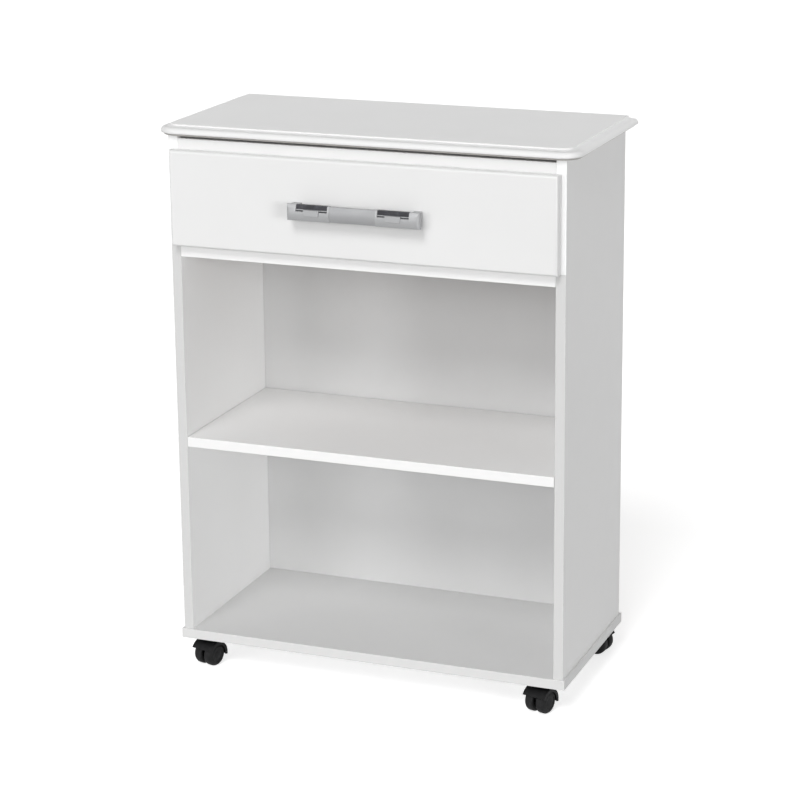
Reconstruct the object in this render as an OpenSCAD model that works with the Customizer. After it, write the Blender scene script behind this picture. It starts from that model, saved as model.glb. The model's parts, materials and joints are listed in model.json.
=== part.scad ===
// Microwave cart: an open two-tier carcass of white board on four twin-wheel casters,
// with one full-width drawer on roller runners under a worktop with a moulded edge.
//
// The front faces -Y, +X is the right-hand side as seen from the front, and +Z is up.
// The pieces are drawn with the side panels' front edges at y = 0, then all are moved
// together so that the origin lies on the floor, under the middle of the whole cart.

/* [Carcass] */
// Width over the outer faces of the side panels
cart_w = 600; // [460:10:800]
// Depth of the side panels
panel_d = 280; // [270:5:420]
// Height of the side panels, which stand on the base board
panel_h = 755; // [700:5:900]
// Thickness of the side panels and rails
board_t = 15; // [14:0.5:18]
// Thickness of the base board
base_t = 15; // [12:1:18]
// How far the base board stands out past the panels, all round
base_out = 3; // [1:0.5:8]
// Rounding of the edge-banded boards' edges
edge_r = 0.8; // [0.3:0.1:1.5]
// Thickness of the hardboard back
back_t = 3; // [2.5:0.5:4]
// Gap between the back's side edge and the outer face of a panel
back_in = 2; // [0:0.5:5]

/* [Shelf] */
// Height of the shelf's underside above the base board
shelf_z = 288; // [180:1:420]
// Thickness of the shelf
shelf_t = 15; // [12:1:18]
// Gap at each end of the shelf
shelf_gap = 0.5; // [0.3:0.1:1.5]
// Gap between the shelf's rear edge and the back
shelf_rear_gap = 2; // [0.5:0.5:10]
// Distance of the shelf pins from the shelf's front and rear edges
pin_in = 40; // [20:5:80]

/* [Worktop] */
// Thickness of the worktop
top_t = 15; // [14:0.5:22]
// Overhang of the moulded lip past the side panels
top_side_out = 18; // [12:1:40]
// Overhang of the moulded lip past the panels' front edges
top_front_out = 10; // [4:1:40]
// Radius of the lip round the two front corners, seen from above
top_corner_r = 30; // [22:1:60]
// Width of the moulding, from the edge of the flat top to the tip of the lip
mould_w = 16; // [14:0.5:20]
// Radius of the bead round the flat top
bead_r = 1.5; // [0.8:0.1:2]
// Depth of the small step under the bead
bead_step = 0.6; // [0.2:0.1:1]
// Radius of the shallow hollow between the bead and the lip
cove_r = 12; // [9:0.5:20]
// Depth of the hollow's lowest line below the flat top
cove_drop = 3.7; // [3.5:0.1:4.5]
// Radius of the lip's round upper side
lip_r = 6.5; // [5:0.25:7]
// Radius of the lip's round lower side
lip_under_r = 2; // [1:0.25:2.5]
// Width of the lip's flat underside
lip_flat = 3; // [1:0.5:4]

/* [Rails] */
// Height of the rail above the drawer
upper_rail_h = 36; // [26:1:40]
// Shadow gap between the upper rail and the worktop
rail_drop = 4; // [1:0.5:6]
// Height of the rail below the drawer
lower_rail_h = 40; // [34:1:44]
// Height of the drawer's opening between the two rails
bay_h = 98; // [96:1:120]

/* [Drawer] */
// Height of the drawer front
front_h = 140; // [132:1:150]
// Thickness of the drawer front
front_t = 15; // [14:1:19]
// How far the drawer front laps over each side panel's front edge
front_lap = 7.5; // [3:0.5:11]
// Height of lower rail that shows below the drawer front
front_reveal = 18.5; // [12:0.5:24]
// Rounding of the drawer front's outer edges
front_r = 4; // [1:0.25:5]
// Gap between the closed drawer front and the carcass
front_gap = 0.8; // [0.4:0.1:2]
// Length of the drawer's sides
side_l = 250; // [240:5:256]
// Height of the drawer's sides
side_h = 85; // [70:1:88]
// Thickness of the drawer's sides and back
side_t = 12; // [12:0.5:15]
// Thickness of the drawer's bottom
bottom_t = 3; // [2.5:0.5:4]
// Height of the bottom's groove above the lower edge of the sides
groove_z = 8; // [6:1:14]
// Depth of the groove that holds the bottom
groove_in = 5; // [3:0.5:6]

/* [Handle] */
// Length of the handle
handle_l = 201; // [180:1:260]
// Height of the handle
handle_h = 23; // [20:0.5:28]
// Distance of the handle's face from the drawer front
handle_out = 24; // [20:0.5:34]
// Thickness of the handle's bar
handle_t = 9; // [8:0.5:11]
// How far the face of the handle's bar is crowned
handle_crown = 3.5; // [2:0.25:5]
// Height of the handle's middle above the drawer front's lower edge
handle_z = 68; // [40:1:100]
// Length of the middle grip between the two moulded ends
grip_l = 69; // [60:1:90]
// How far the grip lies below the skin of the moulded ends
grip_in = 0.4; // [0.2:0.1:1]
// Width of the light ring at each end of the grip
ring_w = 3; // [2:0.5:5]
// Width of the handle's posts
post_w = 15.5; // [14:0.5:24]
// How much narrower a post is where it meets the drawer front
post_taper = 4.5; // [0:0.5:5]
// Radius of the handle's outer front corners, seen from above
post_r = 8; // [3:0.5:8.5]
// Height of the window in each moulded end
window_h = 9.2; // [7:0.1:10.5]
// Depth of the window from the handle's face
window_in = 4.5; // [3.5:0.1:5]
// Thickness of the dark inlay in the window
inlay_t = 1.3; // [0.8:0.1:1.5]
// Height of the rib that crosses the window
rib_h = 1.2; // [0.8:0.1:1.6]
// How far the rib lies behind the handle's face
rib_in = 1.6; // [1:0.1:2.5]
// Width of the tongue across the window
tongue_w = 23.5; // [16:0.5:28]
// Distance of the tongue's top below the top of the handle
tongue_drop = 6.2; // [4:0.1:7]
// Height of the tongue
tongue_h = 8.5; // [6:0.1:12]
// How far the tongue stands out past the handle's face
tongue_out = 1.2; // [0.4:0.1:1.5]

/* [Drawer runners] */
// Width of the space for a runner between the panel and the drawer side
run_space = 12.5; // [12.5:0.1:14]
// Thickness of the runners' steel
sheet = 1.2; // [1:0.1:1.4]
// Height of the cabinet member's channel
channel_h = 24; // [23:0.5:28]
// Width of the channel's lower flange
channel_w = 10.3; // [9.6:0.1:10.5]
// Width of the channel's upper flange
channel_top_w = 8; // [6:0.5:9]
// Width of the drawer member's riding flange
ride_w = 8.5; // [7:0.1:9]
// Radius of a nylon roller
roller_r = 8.7; // [8:0.1:8.8]
// Width of a nylon roller
roller_w = 6.4; // [5:0.1:6.6]
// Diameter of a roller's pin
roller_pin_d = 4; // [3:0.1:5]
// Distance of a roller's axis from its member's end
roller_in = 14; // [11:0.5:18]

/* [Casters] */
// Height of a caster, from the floor to the top of its plate
caster_h = 44; // [43:0.5:60]
// Distance of a caster's swivel axis from the panel's outer face
caster_in_x = 36; // [34:1:80]
// Distance of a front caster's swivel axis from the panels' front edges
caster_front_in = 25; // [22:1:60]
// Distance of a rear caster's swivel axis from the panels' rear edges
caster_rear_in = 18; // [17:1:60]
// Radius of a wheel
wheel_r = 17.5; // [15:0.1:17.6]
// Width of one wheel
wheel_w = 14.5; // [11:0.5:15]
// Rounding of a wheel's tread edges
tread_r = 6; // [3:0.25:6.5]
// Diameter of the axle
axle_d = 5; // [4:0.1:6]
// Distance between the swivel axis and the axle
trail = 11; // [9:0.5:13]
// Side of a caster's square plate
plate_w = 38; // [37:0.5:46]
// Thickness of the plate
plate_t = 2.5; // [2:0.1:3]
// Height of the raceway ring under the plate
race_h = 1.5; // [1:0.1:2]
// Diameter of the kingpin's shank
king_d = 7; // [6:0.1:8]
// Diameter of the hood's boss and of the raceway ring above it
boss_d = 24; // [22:0.5:25]
// Thickness of the boss's top, which the kingpin goes through
boss_t = 4; // [3.5:0.1:4.2]
// Thickness of the hood's shell
hood_t = 1.8; // [1.2:0.1:2.2]
// Thickness of the web between a caster's two wheels
web_t = 4.5; // [4:0.25:8]

/* [Fastenings] */
// Diameter of a cam lock's drum
cam_d = 15; // [12:0.5:15]
// Distance of a cam lock's axis from the joint that it pulls up
cam_in = 24; // [18:0.5:30]
// Diameter of a cam bolt's thread
bolt_d = 6; // [5:0.25:6.5]
// Length of a cam bolt's thread
bolt_thread_l = 10.5; // [8:0.5:11]
// Diameter of a shelf pin
shelf_pin_d = 5; // [4:0.5:6]
// Diameter of a base screw's thread
base_screw_d = 6; // [5:0.5:7]
// Length of a base screw
base_screw_l = 48; // [36:1:60]
// Diameter of the wood screws of casters, runners and drawer back
wood_screw_d = 3.5; // [3:0.1:4]
// Height of the drawer front's lower bolts above the lower edge of the drawer's sides
front_bolt_low = 24; // [20:1:34]
// Distance of the drawer front's upper bolts below the top of the drawer's sides
front_bolt_top = 16; // [10:1:20]
// Distance of the upper back screws below the top of the drawer's sides
back_screw_top = 18; // [12:1:24]
// Distance between a drawer side's two back screws
back_screw_pitch = 32; // [20:1:36]
// Depth of the back screws in the drawer's back
back_screw_in = 24; // [16:1:30]
// Diameter of a back nail
nail_d = 1.6; // [1.2:0.1:2]
// Length of a back nail
nail_l = 20; // [12:1:30]
// Diameter of a back nail's head
nail_head_d = 4; // [3:0.5:5]
// Thickness of a back nail's head
nail_head_t = 0.6; // [0.4:0.1:1]
// Distance of the outermost nails from the ends of the side panels
nail_in = 25; // [15:1:40]
// Largest distance between two back nails
nail_pitch = 90; // [60:5:140]

/* [Clearances] */
// Radial clearance between a pin and what turns on it
spin_fit = 0.05; // [0.02:0.01:0.1]
// Radial clearance between a fastener and its hole
hole_fit = 0.05; // [0.02:0.01:0.2]
// Gap between a roller and its track
track_gap = 0.2; // [0.15:0.05:0.4]
// Gap between faces that turn past each other
turn_gap = 0.4; // [0.3:0.05:0.6]
// Gap between a wheel and the hood round it
hood_gap = 1.2; // [0.8:0.1:1.6]
// Slack of the drawer's bottom and of the back in their seats
panel_slack = 0.3; // [0.1:0.05:0.5]

/* [Hidden] */
$fn = 48;

// Colours
c_white = [0.94, 0.94, 0.94];
c_edge = [0.90, 0.90, 0.89];
c_back = [0.86, 0.86, 0.86];
c_silver = [0.72, 0.73, 0.74];
c_grip = [0.62, 0.63, 0.64];
c_dark = [0.20, 0.20, 0.21];
c_zinc = [0.70, 0.71, 0.73];
c_runner = [0.92, 0.91, 0.88];
c_nylon = [0.95, 0.95, 0.92];
c_black = [0.08, 0.08, 0.09];

// Carcass heights and widths
base_z = caster_h;
deck_z = base_z + base_t;
top_z = deck_z + panel_h;
half_w = cart_w / 2;
inner_half = half_w - board_t;
rear_y = panel_d + back_t;
base_rear_y = panel_d + max(base_out, back_t);

// Rails and drawer bay
upper_rail_top = top_z - rail_drop;
bay_top = upper_rail_top - upper_rail_h;
bay_z = bay_top - bay_h;
lower_rail_z = bay_z - lower_rail_h;
rail_w = 2 * inner_half;

// Drawer
front_y = -front_gap - front_t;
front_z = lower_rail_z + front_reveal;
front_half = inner_half + front_lap;
box_half = inner_half - run_space;
run_z = bay_z + 4;
side_z = run_z + sheet;
bottom_z = side_z + groove_z;
box_rear_y = side_l - front_gap;
box_inner_half = box_half - side_t;

// Handle
handle_mid_z = front_z + handle_z;
handle_back = handle_out - handle_t;
grip_half = grip_l / 2;
window_x = grip_half + ring_w;
post_x = handle_l / 2 - post_w;
window_w = post_x - window_x;
tongue_x = window_x + window_w / 2;
post_mid = post_x + (post_w - post_taper) / 2;
crown_r = (handle_h * handle_h / 4 + handle_crown * handle_crown) / (2 * handle_crown);
back_r = 1;
pocket_r = 4;
post_in_z = 1.5;
tongue_slope = 1.2;
rib_top = handle_h / 2 - tongue_drop;
handle_screw_d = 4;

// The middle of the cart between its handle and what reaches furthest at the rear
y_mid = (front_y - handle_out - tongue_out + max(base_rear_y, rear_y + nail_head_t)) / 2;

// Runners, as long as the drawer's sides
run_l = side_l;
cabinet_run_y = 1;
ride_z = channel_h - 2 * sheet - 2.2;
web_s = run_space - sheet;
cabinet_roller_z = ride_z - track_gap - roller_r;
drawer_roller_z = sheet + track_gap + roller_r;
roller_s = (sheet + web_s) / 2;
pin_head_t = 0.7;
pin_end = roller_w / 2 + 1;
cabinet_roller_y = cabinet_run_y + roller_in;
drawer_roller_y = box_rear_y - roller_in + 4;

// Casters
hood_top = caster_h - plate_t - race_h - turn_gap;
seat_z = hood_top - boss_t;
boss_z = seat_z - 6;
king_head_t = 1.2;
king_head_d = king_d + 2.4;
hood_r_in = wheel_r + hood_gap;
hood_r = hood_r_in + hood_t;
wheel_x = web_t / 2 + 0.5;
hood_half = wheel_x + wheel_w + 0.5 + hood_t / 2;
hood_from = -12;
hood_to = 150;
hub_r = axle_d / 2 + 3.5;
cheek_lap = 2;
face_t = 2;
face_in = 0.8;
plate_screw = plate_w / 2 - 5.5;

// Fastenings
cam_y = [60, panel_d - 60];
base_screw_y = [40, panel_d - 40];
run_screw_y = [50, 190];
bolt_mid = board_t / 2;
bolt_collar_l = 1.5;
bolt_neck_d = bolt_d - 2.4;
bolt_head_l = 3;
cam_slot_l = 8;
cam_slot_w = 1.6;
cam_slot_in = 2;
shelf_pin_y = [pin_in, panel_d - shelf_rear_gap - pin_in];
shelf_pin_hole = board_t - 5;
shelf_pin_out = 9;
head_t = 2;

// ---- Placing ------------------------------------------------------------------

// Moves what is drawn from the panels' front edges into the cart's own frame
module place() {
    translate([0, -y_mid, 0]) children();
}

// Draws something made for the right-hand side on the left (-1) or the right (1)
module on_side(side) {
    mirror([side < 0 ? 1 : 0, 0, 0]) children();
}

// As on_side, with x counted inwards from the inner face of the side panel
module from_panel(side) {
    on_side(side) translate([inner_half, 0, 0]) mirror([1, 0, 0]) children();
}

// Turns an outline drawn as (y, z) into a solid of length l towards +X
module along_x(l) {
    rotate([90, 0, 90]) linear_extrude(l) children();
}

// Turns an outline drawn as (x, z) into a solid of length l towards +Y
module along_y(l) {
    translate([0, l, 0]) rotate([90, 0, 0]) linear_extrude(l) children();
}

// ---- Boards -------------------------------------------------------------------

// A rectangle from the origin with its four corners rounded
module soft_rect(w, h, r) {
    difference() {
        square([w, h]);
        for (x = [0, 1], y = [0, 1])
            translate([x * w, y * h]) mirror([x, 0]) mirror([0, y]) corner_cut(r);
    }
}

// What a quarter round of radius r takes off a corner at the origin
module corner_cut(r) {
    difference() {
        translate([-1, -1]) square([r + 1, r + 1]);
        translate([r, r]) circle(r);
    }
}

// A slab from the origin with the edges of its faces z = 0 and z = t rounded
module soft_slab(w, d, t, r) {
    intersection() {
        along_x(w) soft_rect(d, t, r);
        along_y(d) soft_rect(w, t, r);
    }
}

// ---- Worktop ------------------------------------------------------------------

// The moulding's outline: x outwards from the edge of the flat top, y up from the
// underside. A bead, a shallow hollow and a round lip that is undercut below.
module moulding() {
    lip_x = mould_w - lip_r;
    lip_y = top_t - cove_drop - lip_r;
    under_x = mould_w - lip_under_r;
    cove_x = lip_x - 1.5;
    difference() {
        union() {
            square([bead_r, top_t - bead_r]);
            translate([0, top_t - bead_r]) circle(bead_r);
            square([under_x - lip_flat, top_t - cove_drop]);
            translate([0, lip_y - lip_under_r])
                square([lip_x, lip_r + lip_under_r]);
            translate([lip_x, lip_y - lip_under_r])
                square([under_x - lip_x, lip_under_r]);
            intersection() {
                translate([lip_x, lip_y]) circle(lip_r);
                translate([lip_x, lip_y]) square(lip_r);
            }
            translate([under_x, lip_y]) circle(lip_under_r);
            cove_fill(cove_x);
        }
        translate([-2 * bead_r, -1]) square([2 * bead_r, top_t + 2]);
        translate([cove_x, top_t - cove_drop + cove_r]) circle(cove_r, $fn = 96);
    }
}

// The stock that the hollow is cut from
module cove_fill(cove_x) {
    polygon([
        [0, top_t - cove_drop - 1],
        [0, top_t - bead_r - bead_step],
        [bead_r, top_t - bead_r - bead_step],
        [cove_x, top_t - cove_drop],
        [cove_x, top_t - cove_drop - 1],
    ]);
}

module worktop() {
    flat_half = half_w + top_side_out - mould_w;
    flat_front = -top_front_out + mould_w;
    turn_r = top_corner_r - mould_w;
    color(c_white) place() translate([0, 0, top_z]) difference() {
        union() {
            // the flat middle, and the strips beside the two rounded corners
            translate([-flat_half, flat_front + turn_r, 0])
                cube([2 * flat_half, rear_y - flat_front - turn_r, top_t]);
            translate([-flat_half + turn_r, flat_front, 0])
                cube([2 * (flat_half - turn_r), turn_r + 1, top_t]);
            // the straight runs of the moulding
            translate([-flat_half + turn_r, flat_front, 0]) mirror([0, 1, 0])
                along_x(2 * (flat_half - turn_r)) moulding();
            for (side = [-1, 1]) on_side(side) {
                translate([flat_half, flat_front + turn_r, 0])
                    along_y(rear_y - flat_front - turn_r) moulding();
                // the moulding turned round a front corner
                translate([flat_half - turn_r, flat_front + turn_r, 0])
                    rotate([0, 0, -90]) rotate_extrude(angle = 90) {
                        translate([turn_r, 0]) moulding();
                        square([turn_r, top_t]);
                    }
            }
        }
        // holes for the bolts that hold the worktop on the side panels
        for (side = [-1, 1], y = cam_y)
            on_side(side) translate([inner_half + bolt_mid, y, -1])
                cylinder(h = bolt_thread_l + 1, d = bolt_d + 2 * hole_fit);
    }
}

// ---- Carcass boards -----------------------------------------------------------

module side_panel(side) {
    color(c_white) place() on_side(side) difference() {
        translate([inner_half, 0, deck_z])
            linear_extrude(panel_h) soft_rect(board_t, panel_d, edge_r);
        // nails come in from the rear
        at_nails([1]) translate([0, 0, -nail_l])
            cylinder(h = nail_l + 1, d = nail_d + 2 * hole_fit);
        // base screws come up into the lower end
        for (y = base_screw_y)
            translate([inner_half + bolt_mid, y, deck_z - 1])
                cylinder(h = base_screw_l - base_t + 1,
                    d = base_screw_d + 2 * hole_fit);
        // cam drums near the upper end, and the bolts' holes above them
        for (y = cam_y)
            translate([0, y, top_z - cam_in]) {
                translate([inner_half, 0, 0]) rotate([0, 90, 0])
                    translate([0, 0, -1])
                        cylinder(h = cam_depth(board_t) + 1, d = cam_d + 2 * hole_fit);
                translate([inner_half + bolt_mid, 0, 0])
                    cylinder(h = cam_in + 1, d = bolt_d + 1);
            }
        // holes for the rails' bolts and for the shelf pins
        for (z = [upper_rail_mid(), lower_rail_mid()])
            translate([inner_half - 1, bolt_mid, z]) rotate([0, 90, 0])
                cylinder(h = bolt_thread_l + 1, d = bolt_d + 2 * hole_fit);
        for (y = shelf_pin_y)
            translate([inner_half - 1, y, shelf_pin_z()]) rotate([0, 90, 0])
                cylinder(h = shelf_pin_hole + 1, d = shelf_pin_d + 2 * hole_fit);
        // pilot holes for the runner's screws
        for (y = run_screw_y)
            translate([inner_half - 1, y, run_screw_z()]) rotate([0, 90, 0])
                cylinder(h = screw_l() + 1, d = wood_screw_d + 2 * hole_fit);
    }
}

function upper_rail_mid() = bay_top + upper_rail_h / 2;
function lower_rail_mid() = lower_rail_z + lower_rail_h / 2;
function shelf_pin_z() = deck_z + shelf_z - shelf_pin_d / 2;
function cam_depth(t) = t - 2.5;
function run_screw_z() = run_z + channel_h / 2;
function screw_l() = board_t - 4;

module base_board() {
    w = cart_w + 2 * base_out;
    d = base_rear_y + base_out;
    color(c_white) place() difference() {
        translate([-w / 2, -base_out, base_z]) soft_slab(w, d, base_t, edge_r);
        // base screws, with room for their heads
        for (side = [-1, 1], y = base_screw_y)
            translate([side * (inner_half + bolt_mid), y, base_z - 1]) {
                cylinder(h = base_t + 2, d = base_screw_d + 2 * hole_fit);
                cylinder(h = 1 + base_head_t(), d = base_head_d() + 4 * hole_fit);
            }
        // pilot holes for the caster screws
        for (i = [0 : 3]) at_caster(i) at_plate_screws()
            translate([0, 0, caster_h - 1])
                cylinder(h = caster_screw_in() + 1, d = wood_screw_d + 2 * hole_fit);
    }
}

function base_head_t() = 4;
function base_head_d() = base_screw_d + 4;
function caster_screw_in() = base_t - 4;

module back_panel() {
    w = cart_w - 2 * back_in;
    color(c_back) place() difference() {
        translate([-w / 2, panel_d, deck_z + panel_slack])
            cube([w, back_t, panel_h - 2 * panel_slack]);
        at_nails() translate([0, 0, -back_t - 1])
            cylinder(h = back_t + 2, d = nail_d + 2 * hole_fit);
    }
}

module middle_shelf() {
    d = panel_d - shelf_rear_gap;
    w = rail_w - 2 * shelf_gap;
    color(c_white) place() translate([-w / 2, 0, deck_z + shelf_z])
        along_x(w) soft_rect(d, shelf_t, edge_r);
}

module rail(z, h) {
    color(c_white) place() difference() {
        translate([-inner_half, 0, z]) along_x(rail_w) soft_rect(board_t, h, edge_r);
        for (side = [-1, 1]) from_panel(side) translate([0, 0, z + h / 2]) {
            // the cam's drum, let in from the rear face
            translate([cam_in, board_t - cam_depth(board_t), 0]) rotate([-90, 0, 0])
                cylinder(h = board_t, d = cam_d + 2 * hole_fit);
            // the bolt's hole, from the rail's end to the drum
            translate([-1, bolt_mid, 0]) rotate([0, 90, 0])
                cylinder(h = cam_in + 1, d = bolt_d + 1);
        }
    }
}

module upper_rail() {
    rail(bay_top, upper_rail_h);
}

module lower_rail() {
    rail(lower_rail_z, lower_rail_h);
}

// ---- Fastenings ---------------------------------------------------------------

// A cam lock: its slotted face at z = 0, the drum below it, its mouth towards -X
module cam_lock(depth, bolt_at) {
    difference() {
        translate([0, 0, -depth]) cylinder(h = depth, d = cam_d);
        for (a = [0, 90]) rotate([0, 0, a])
            translate([-cam_slot_l / 2, -cam_slot_w / 2, -cam_slot_in])
                cube([cam_slot_l, cam_slot_w, cam_slot_in + 1]);
        translate([-cam_d, 0, -bolt_at]) rotate([0, 90, 0])
            cylinder(h = cam_d + 3, d = bolt_d + 1);
    }
}

// A cam bolt along +X: thread below x = 0, neck and head towards the cam
module cam_bolt() {
    rotate([0, 90, 0]) {
        translate([0, 0, -bolt_thread_l])
            cylinder(h = bolt_thread_l + bolt_collar_l, d = bolt_d);
        cylinder(h = cam_in, d = bolt_neck_d);
        translate([0, 0, cam_in - 1]) cylinder(h = bolt_head_l, d = bolt_d);
    }
}

// Every place where a cam lock pulls up a carcass joint, drawn as for a rail
module at_rail_joints() {
    for (side = [-1, 1], z = [upper_rail_mid(), lower_rail_mid()])
        from_panel(side) translate([0, bolt_mid, z]) children();
}

module at_top_joints() {
    for (side = [-1, 1], y = cam_y)
        on_side(side) translate([inner_half + bolt_mid, y, top_z])
            rotate([0, 90, 0]) rotate([180, 0, 0]) children();
}

module cam_locks() {
    color(c_zinc) place() {
        at_rail_joints() translate([cam_in, board_t - bolt_mid, 0])
            rotate([-90, 0, 0]) cam_lock(cam_depth(board_t), bolt_mid);
        at_top_joints() translate([cam_in, 0, bolt_mid])
            cam_lock(cam_depth(board_t), bolt_mid);
    }
}

module cam_bolts() {
    color(c_zinc) place() {
        at_rail_joints() cam_bolt();
        at_top_joints() cam_bolt();
    }
}

module shelf_pins() {
    color(c_zinc) place() for (side = [-1, 1], y = shelf_pin_y)
        from_panel(side) translate([-shelf_pin_hole, y, shelf_pin_z()])
            rotate([0, 90, 0])
                cylinder(h = shelf_pin_hole + shelf_pin_out, d = shelf_pin_d);
}

// A countersunk or round-headed screw along +Z, its head's seat at z = 0
module screw(l, d, head_d, head_h) {
    cylinder(h = l, d = d);
    difference() {
        translate([0, 0, -head_h]) cylinder(h = head_h, d1 = head_d * 0.8, d2 = head_d);
        for (a = [0, 90]) rotate([0, 0, a])
            translate([-head_d / 4, -0.45, -head_h - 1])
                cube([head_d / 2, 0.9, 1 + 0.45 * head_h]);
    }
}

module base_screws() {
    color(c_zinc) place() for (side = [-1, 1], y = base_screw_y)
        translate([side * (inner_half + bolt_mid), y, base_z + base_head_t()])
            screw(base_screw_l - base_head_t(), base_screw_d, base_head_d(),
                base_head_t() - 0.3);
}

module back_nails() {
    color(c_zinc) place() at_nails() {
        cylinder(h = nail_head_t, d = nail_head_d, $fn = 24);
        translate([0, 0, -nail_l]) cylinder(h = nail_l, d = nail_d, $fn = 24);
    }
}

// Puts a nail drawn with its head above z = 0 at each place on the back
module at_nails(sides = [-1, 1]) {
    span = panel_h - 2 * nail_in;
    count = ceil(span / nail_pitch);
    for (side = sides, i = [0 : count])
        translate([side * (inner_half + bolt_mid), rear_y, deck_z + nail_in + i * span / count])
            rotate([-90, 0, 0]) children();
}

// ---- Drawer -------------------------------------------------------------------

module drawer_front() {
    color(c_white) place() difference() {
        translate([-front_half, front_y, front_z]) intersection() {
            along_x(2 * front_half) front_edge(front_h);
            linear_extrude(front_h) front_plan(2 * front_half);
        }
        // the groove for the bottom
        translate([-box_inner_half - groove_in, -front_gap - groove_in, bottom_z])
            cube([2 * (box_inner_half + groove_in), groove_in + 1,
                bottom_t + panel_slack]);
        // the holes for the cam bolts and for the handle's screws
        for (side = [-1, 1]) on_side(side) {
            at_drawer_joints() rotate([90, 0, 0]) translate([0, 0, -1])
                cylinder(h = bolt_thread_l + 1, d = bolt_d + 2 * hole_fit);
            translate([post_mid, front_y - 1, handle_mid_z]) rotate([-90, 0, 0])
                cylinder(h = front_t + 2, d = handle_screw_d + 0.5);
        }
    }
}

// The drawer front's end view as (y, z): its two outer edges are rounded
module front_edge(h) {
    difference() {
        square([front_t, h]);
        corner_cut(front_r);
        translate([0, h]) mirror([0, 1]) corner_cut(front_r);
    }
}

// The drawer front seen from above as (x, y)
module front_plan(w) {
    difference() {
        square([w, front_t]);
        corner_cut(front_r);
        translate([w, 0]) mirror([1, 0]) corner_cut(front_r);
    }
}

// Where the drawer's sides meet its front
module at_drawer_joints() {
    for (z = [front_bolt_low, side_h - front_bolt_top])
        translate([box_half - side_t / 2, -front_gap, side_z + z]) children();
}

module drawer_side(side) {
    color(c_edge) place() on_side(side) difference() {
        translate([box_inner_half, -front_gap, side_z])
            along_y(side_l) soft_rect(side_t, side_h, edge_r);
        // the groove for the bottom
        translate([box_inner_half - 1, -front_gap - 1, bottom_z])
            cube([groove_in + 1, side_l + 2, bottom_t + panel_slack]);
        at_drawer_joints() {
            translate([-side_t / 2 - 1, cam_in, 0]) rotate([0, 90, 0])
                cylinder(h = cam_depth(side_t) + 1, d = cam_d + 2 * hole_fit);
            translate([0, -1, 0]) rotate([-90, 0, 0])
                cylinder(h = cam_in + 1, d = bolt_d + 1);
        }
        // screw holes into the drawer's back, and from the runner below
        at_back_screws() rotate([0, -90, 0]) translate([0, 0, -1])
            cylinder(h = side_t + 2, d = wood_screw_d + 2 * hole_fit);
        for (y = run_screw_y)
            translate([box_half - side_t / 2, y, side_z - 1])
                cylinder(h = up_screw_l() - sheet + 1, d = wood_screw_d + 2 * hole_fit);
    }
}

module at_back_screws() {
    for (i = [0, 1])
        translate([box_half, box_rear_y - side_t / 2,
            side_z + side_h - back_screw_top - i * back_screw_pitch]) children();
}

module drawer_back() {
    z = bottom_z + bottom_t + panel_slack;
    color(c_edge) place() difference() {
        translate([-box_inner_half, box_rear_y - side_t, z])
            along_x(2 * box_inner_half)
                soft_rect(side_t, side_z + side_h - z, edge_r);
        for (side = [-1, 1]) on_side(side) at_back_screws()
            rotate([0, -90, 0])
                cylinder(h = back_screw_l(), d = wood_screw_d + 2 * hole_fit);
    }
}

function back_screw_l() = side_t + back_screw_in;
function up_screw_l() = groove_z - 1;

module drawer_bottom() {
    half = box_inner_half + groove_in - panel_slack;
    l = box_rear_y + front_gap + groove_in - panel_slack;
    color(c_back) place()
        translate([-half, box_rear_y - l, bottom_z])
            cube([2 * half, l, bottom_t]);
}

module drawer_cams() {
    color(c_zinc) place() for (side = [-1, 1]) on_side(side) at_drawer_joints()
        translate([-side_t / 2, cam_in, 0]) rotate([0, -90, 0]) rotate([0, 0, 90])
            cam_lock(cam_depth(side_t), side_t / 2);
}

module drawer_bolts() {
    color(c_zinc) place() for (side = [-1, 1]) on_side(side) at_drawer_joints()
        rotate([0, 0, 90]) cam_bolt();
}

module drawer_screws() {
    color(c_zinc) place() for (side = [-1, 1]) on_side(side) at_back_screws()
        rotate([0, -90, 0])
            screw(back_screw_l(), wood_screw_d, 2 * wood_screw_d, head_t);
}

// ---- Handle -------------------------------------------------------------------

// The bar's end view as (y, z), its crowned face at y = -handle_out, shrunk all round by s
module bar_edge(s) {
    w = handle_t - 2 * s;
    h = handle_h - 2 * s;
    intersection() {
        translate([-handle_out + crown_r, 0]) circle(crown_r - s, $fn = 96);
        translate([-handle_out + s, -h / 2]) difference() {
            square([w, h]);
            translate([w, h]) mirror([1, 0]) mirror([0, 1]) corner_cut(back_r);
            translate([w, 0]) mirror([1, 0]) corner_cut(back_r);
        }
    }
}

module at_handle() {
    place() translate([0, front_y, handle_mid_z]) children();
}

module handle_grip() {
    color(c_grip) at_handle() translate([-grip_half, 0, 0])
        along_x(grip_l) bar_edge(grip_in);
}

// Half of the handle seen from above as (x, y): bar, tapered post and the round between
module end_plan() {
    x0 = grip_half;
    x1 = handle_l / 2;
    difference() {
        polygon([
            [x0, -handle_out],
            [x1, -handle_out],
            [x1, -handle_out + post_r],
            [x1 - post_taper, 0],
            [x0, 0],
        ]);
        difference() {
            translate([x0 - 1, -handle_back]) square([post_x - x0 + 1, handle_out]);
            translate([post_x, -handle_back]) mirror([1, 0]) corner_cut(pocket_r);
        }
        translate([x1, -handle_out]) mirror([1, 0]) corner_cut(post_r);
    }
}

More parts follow.
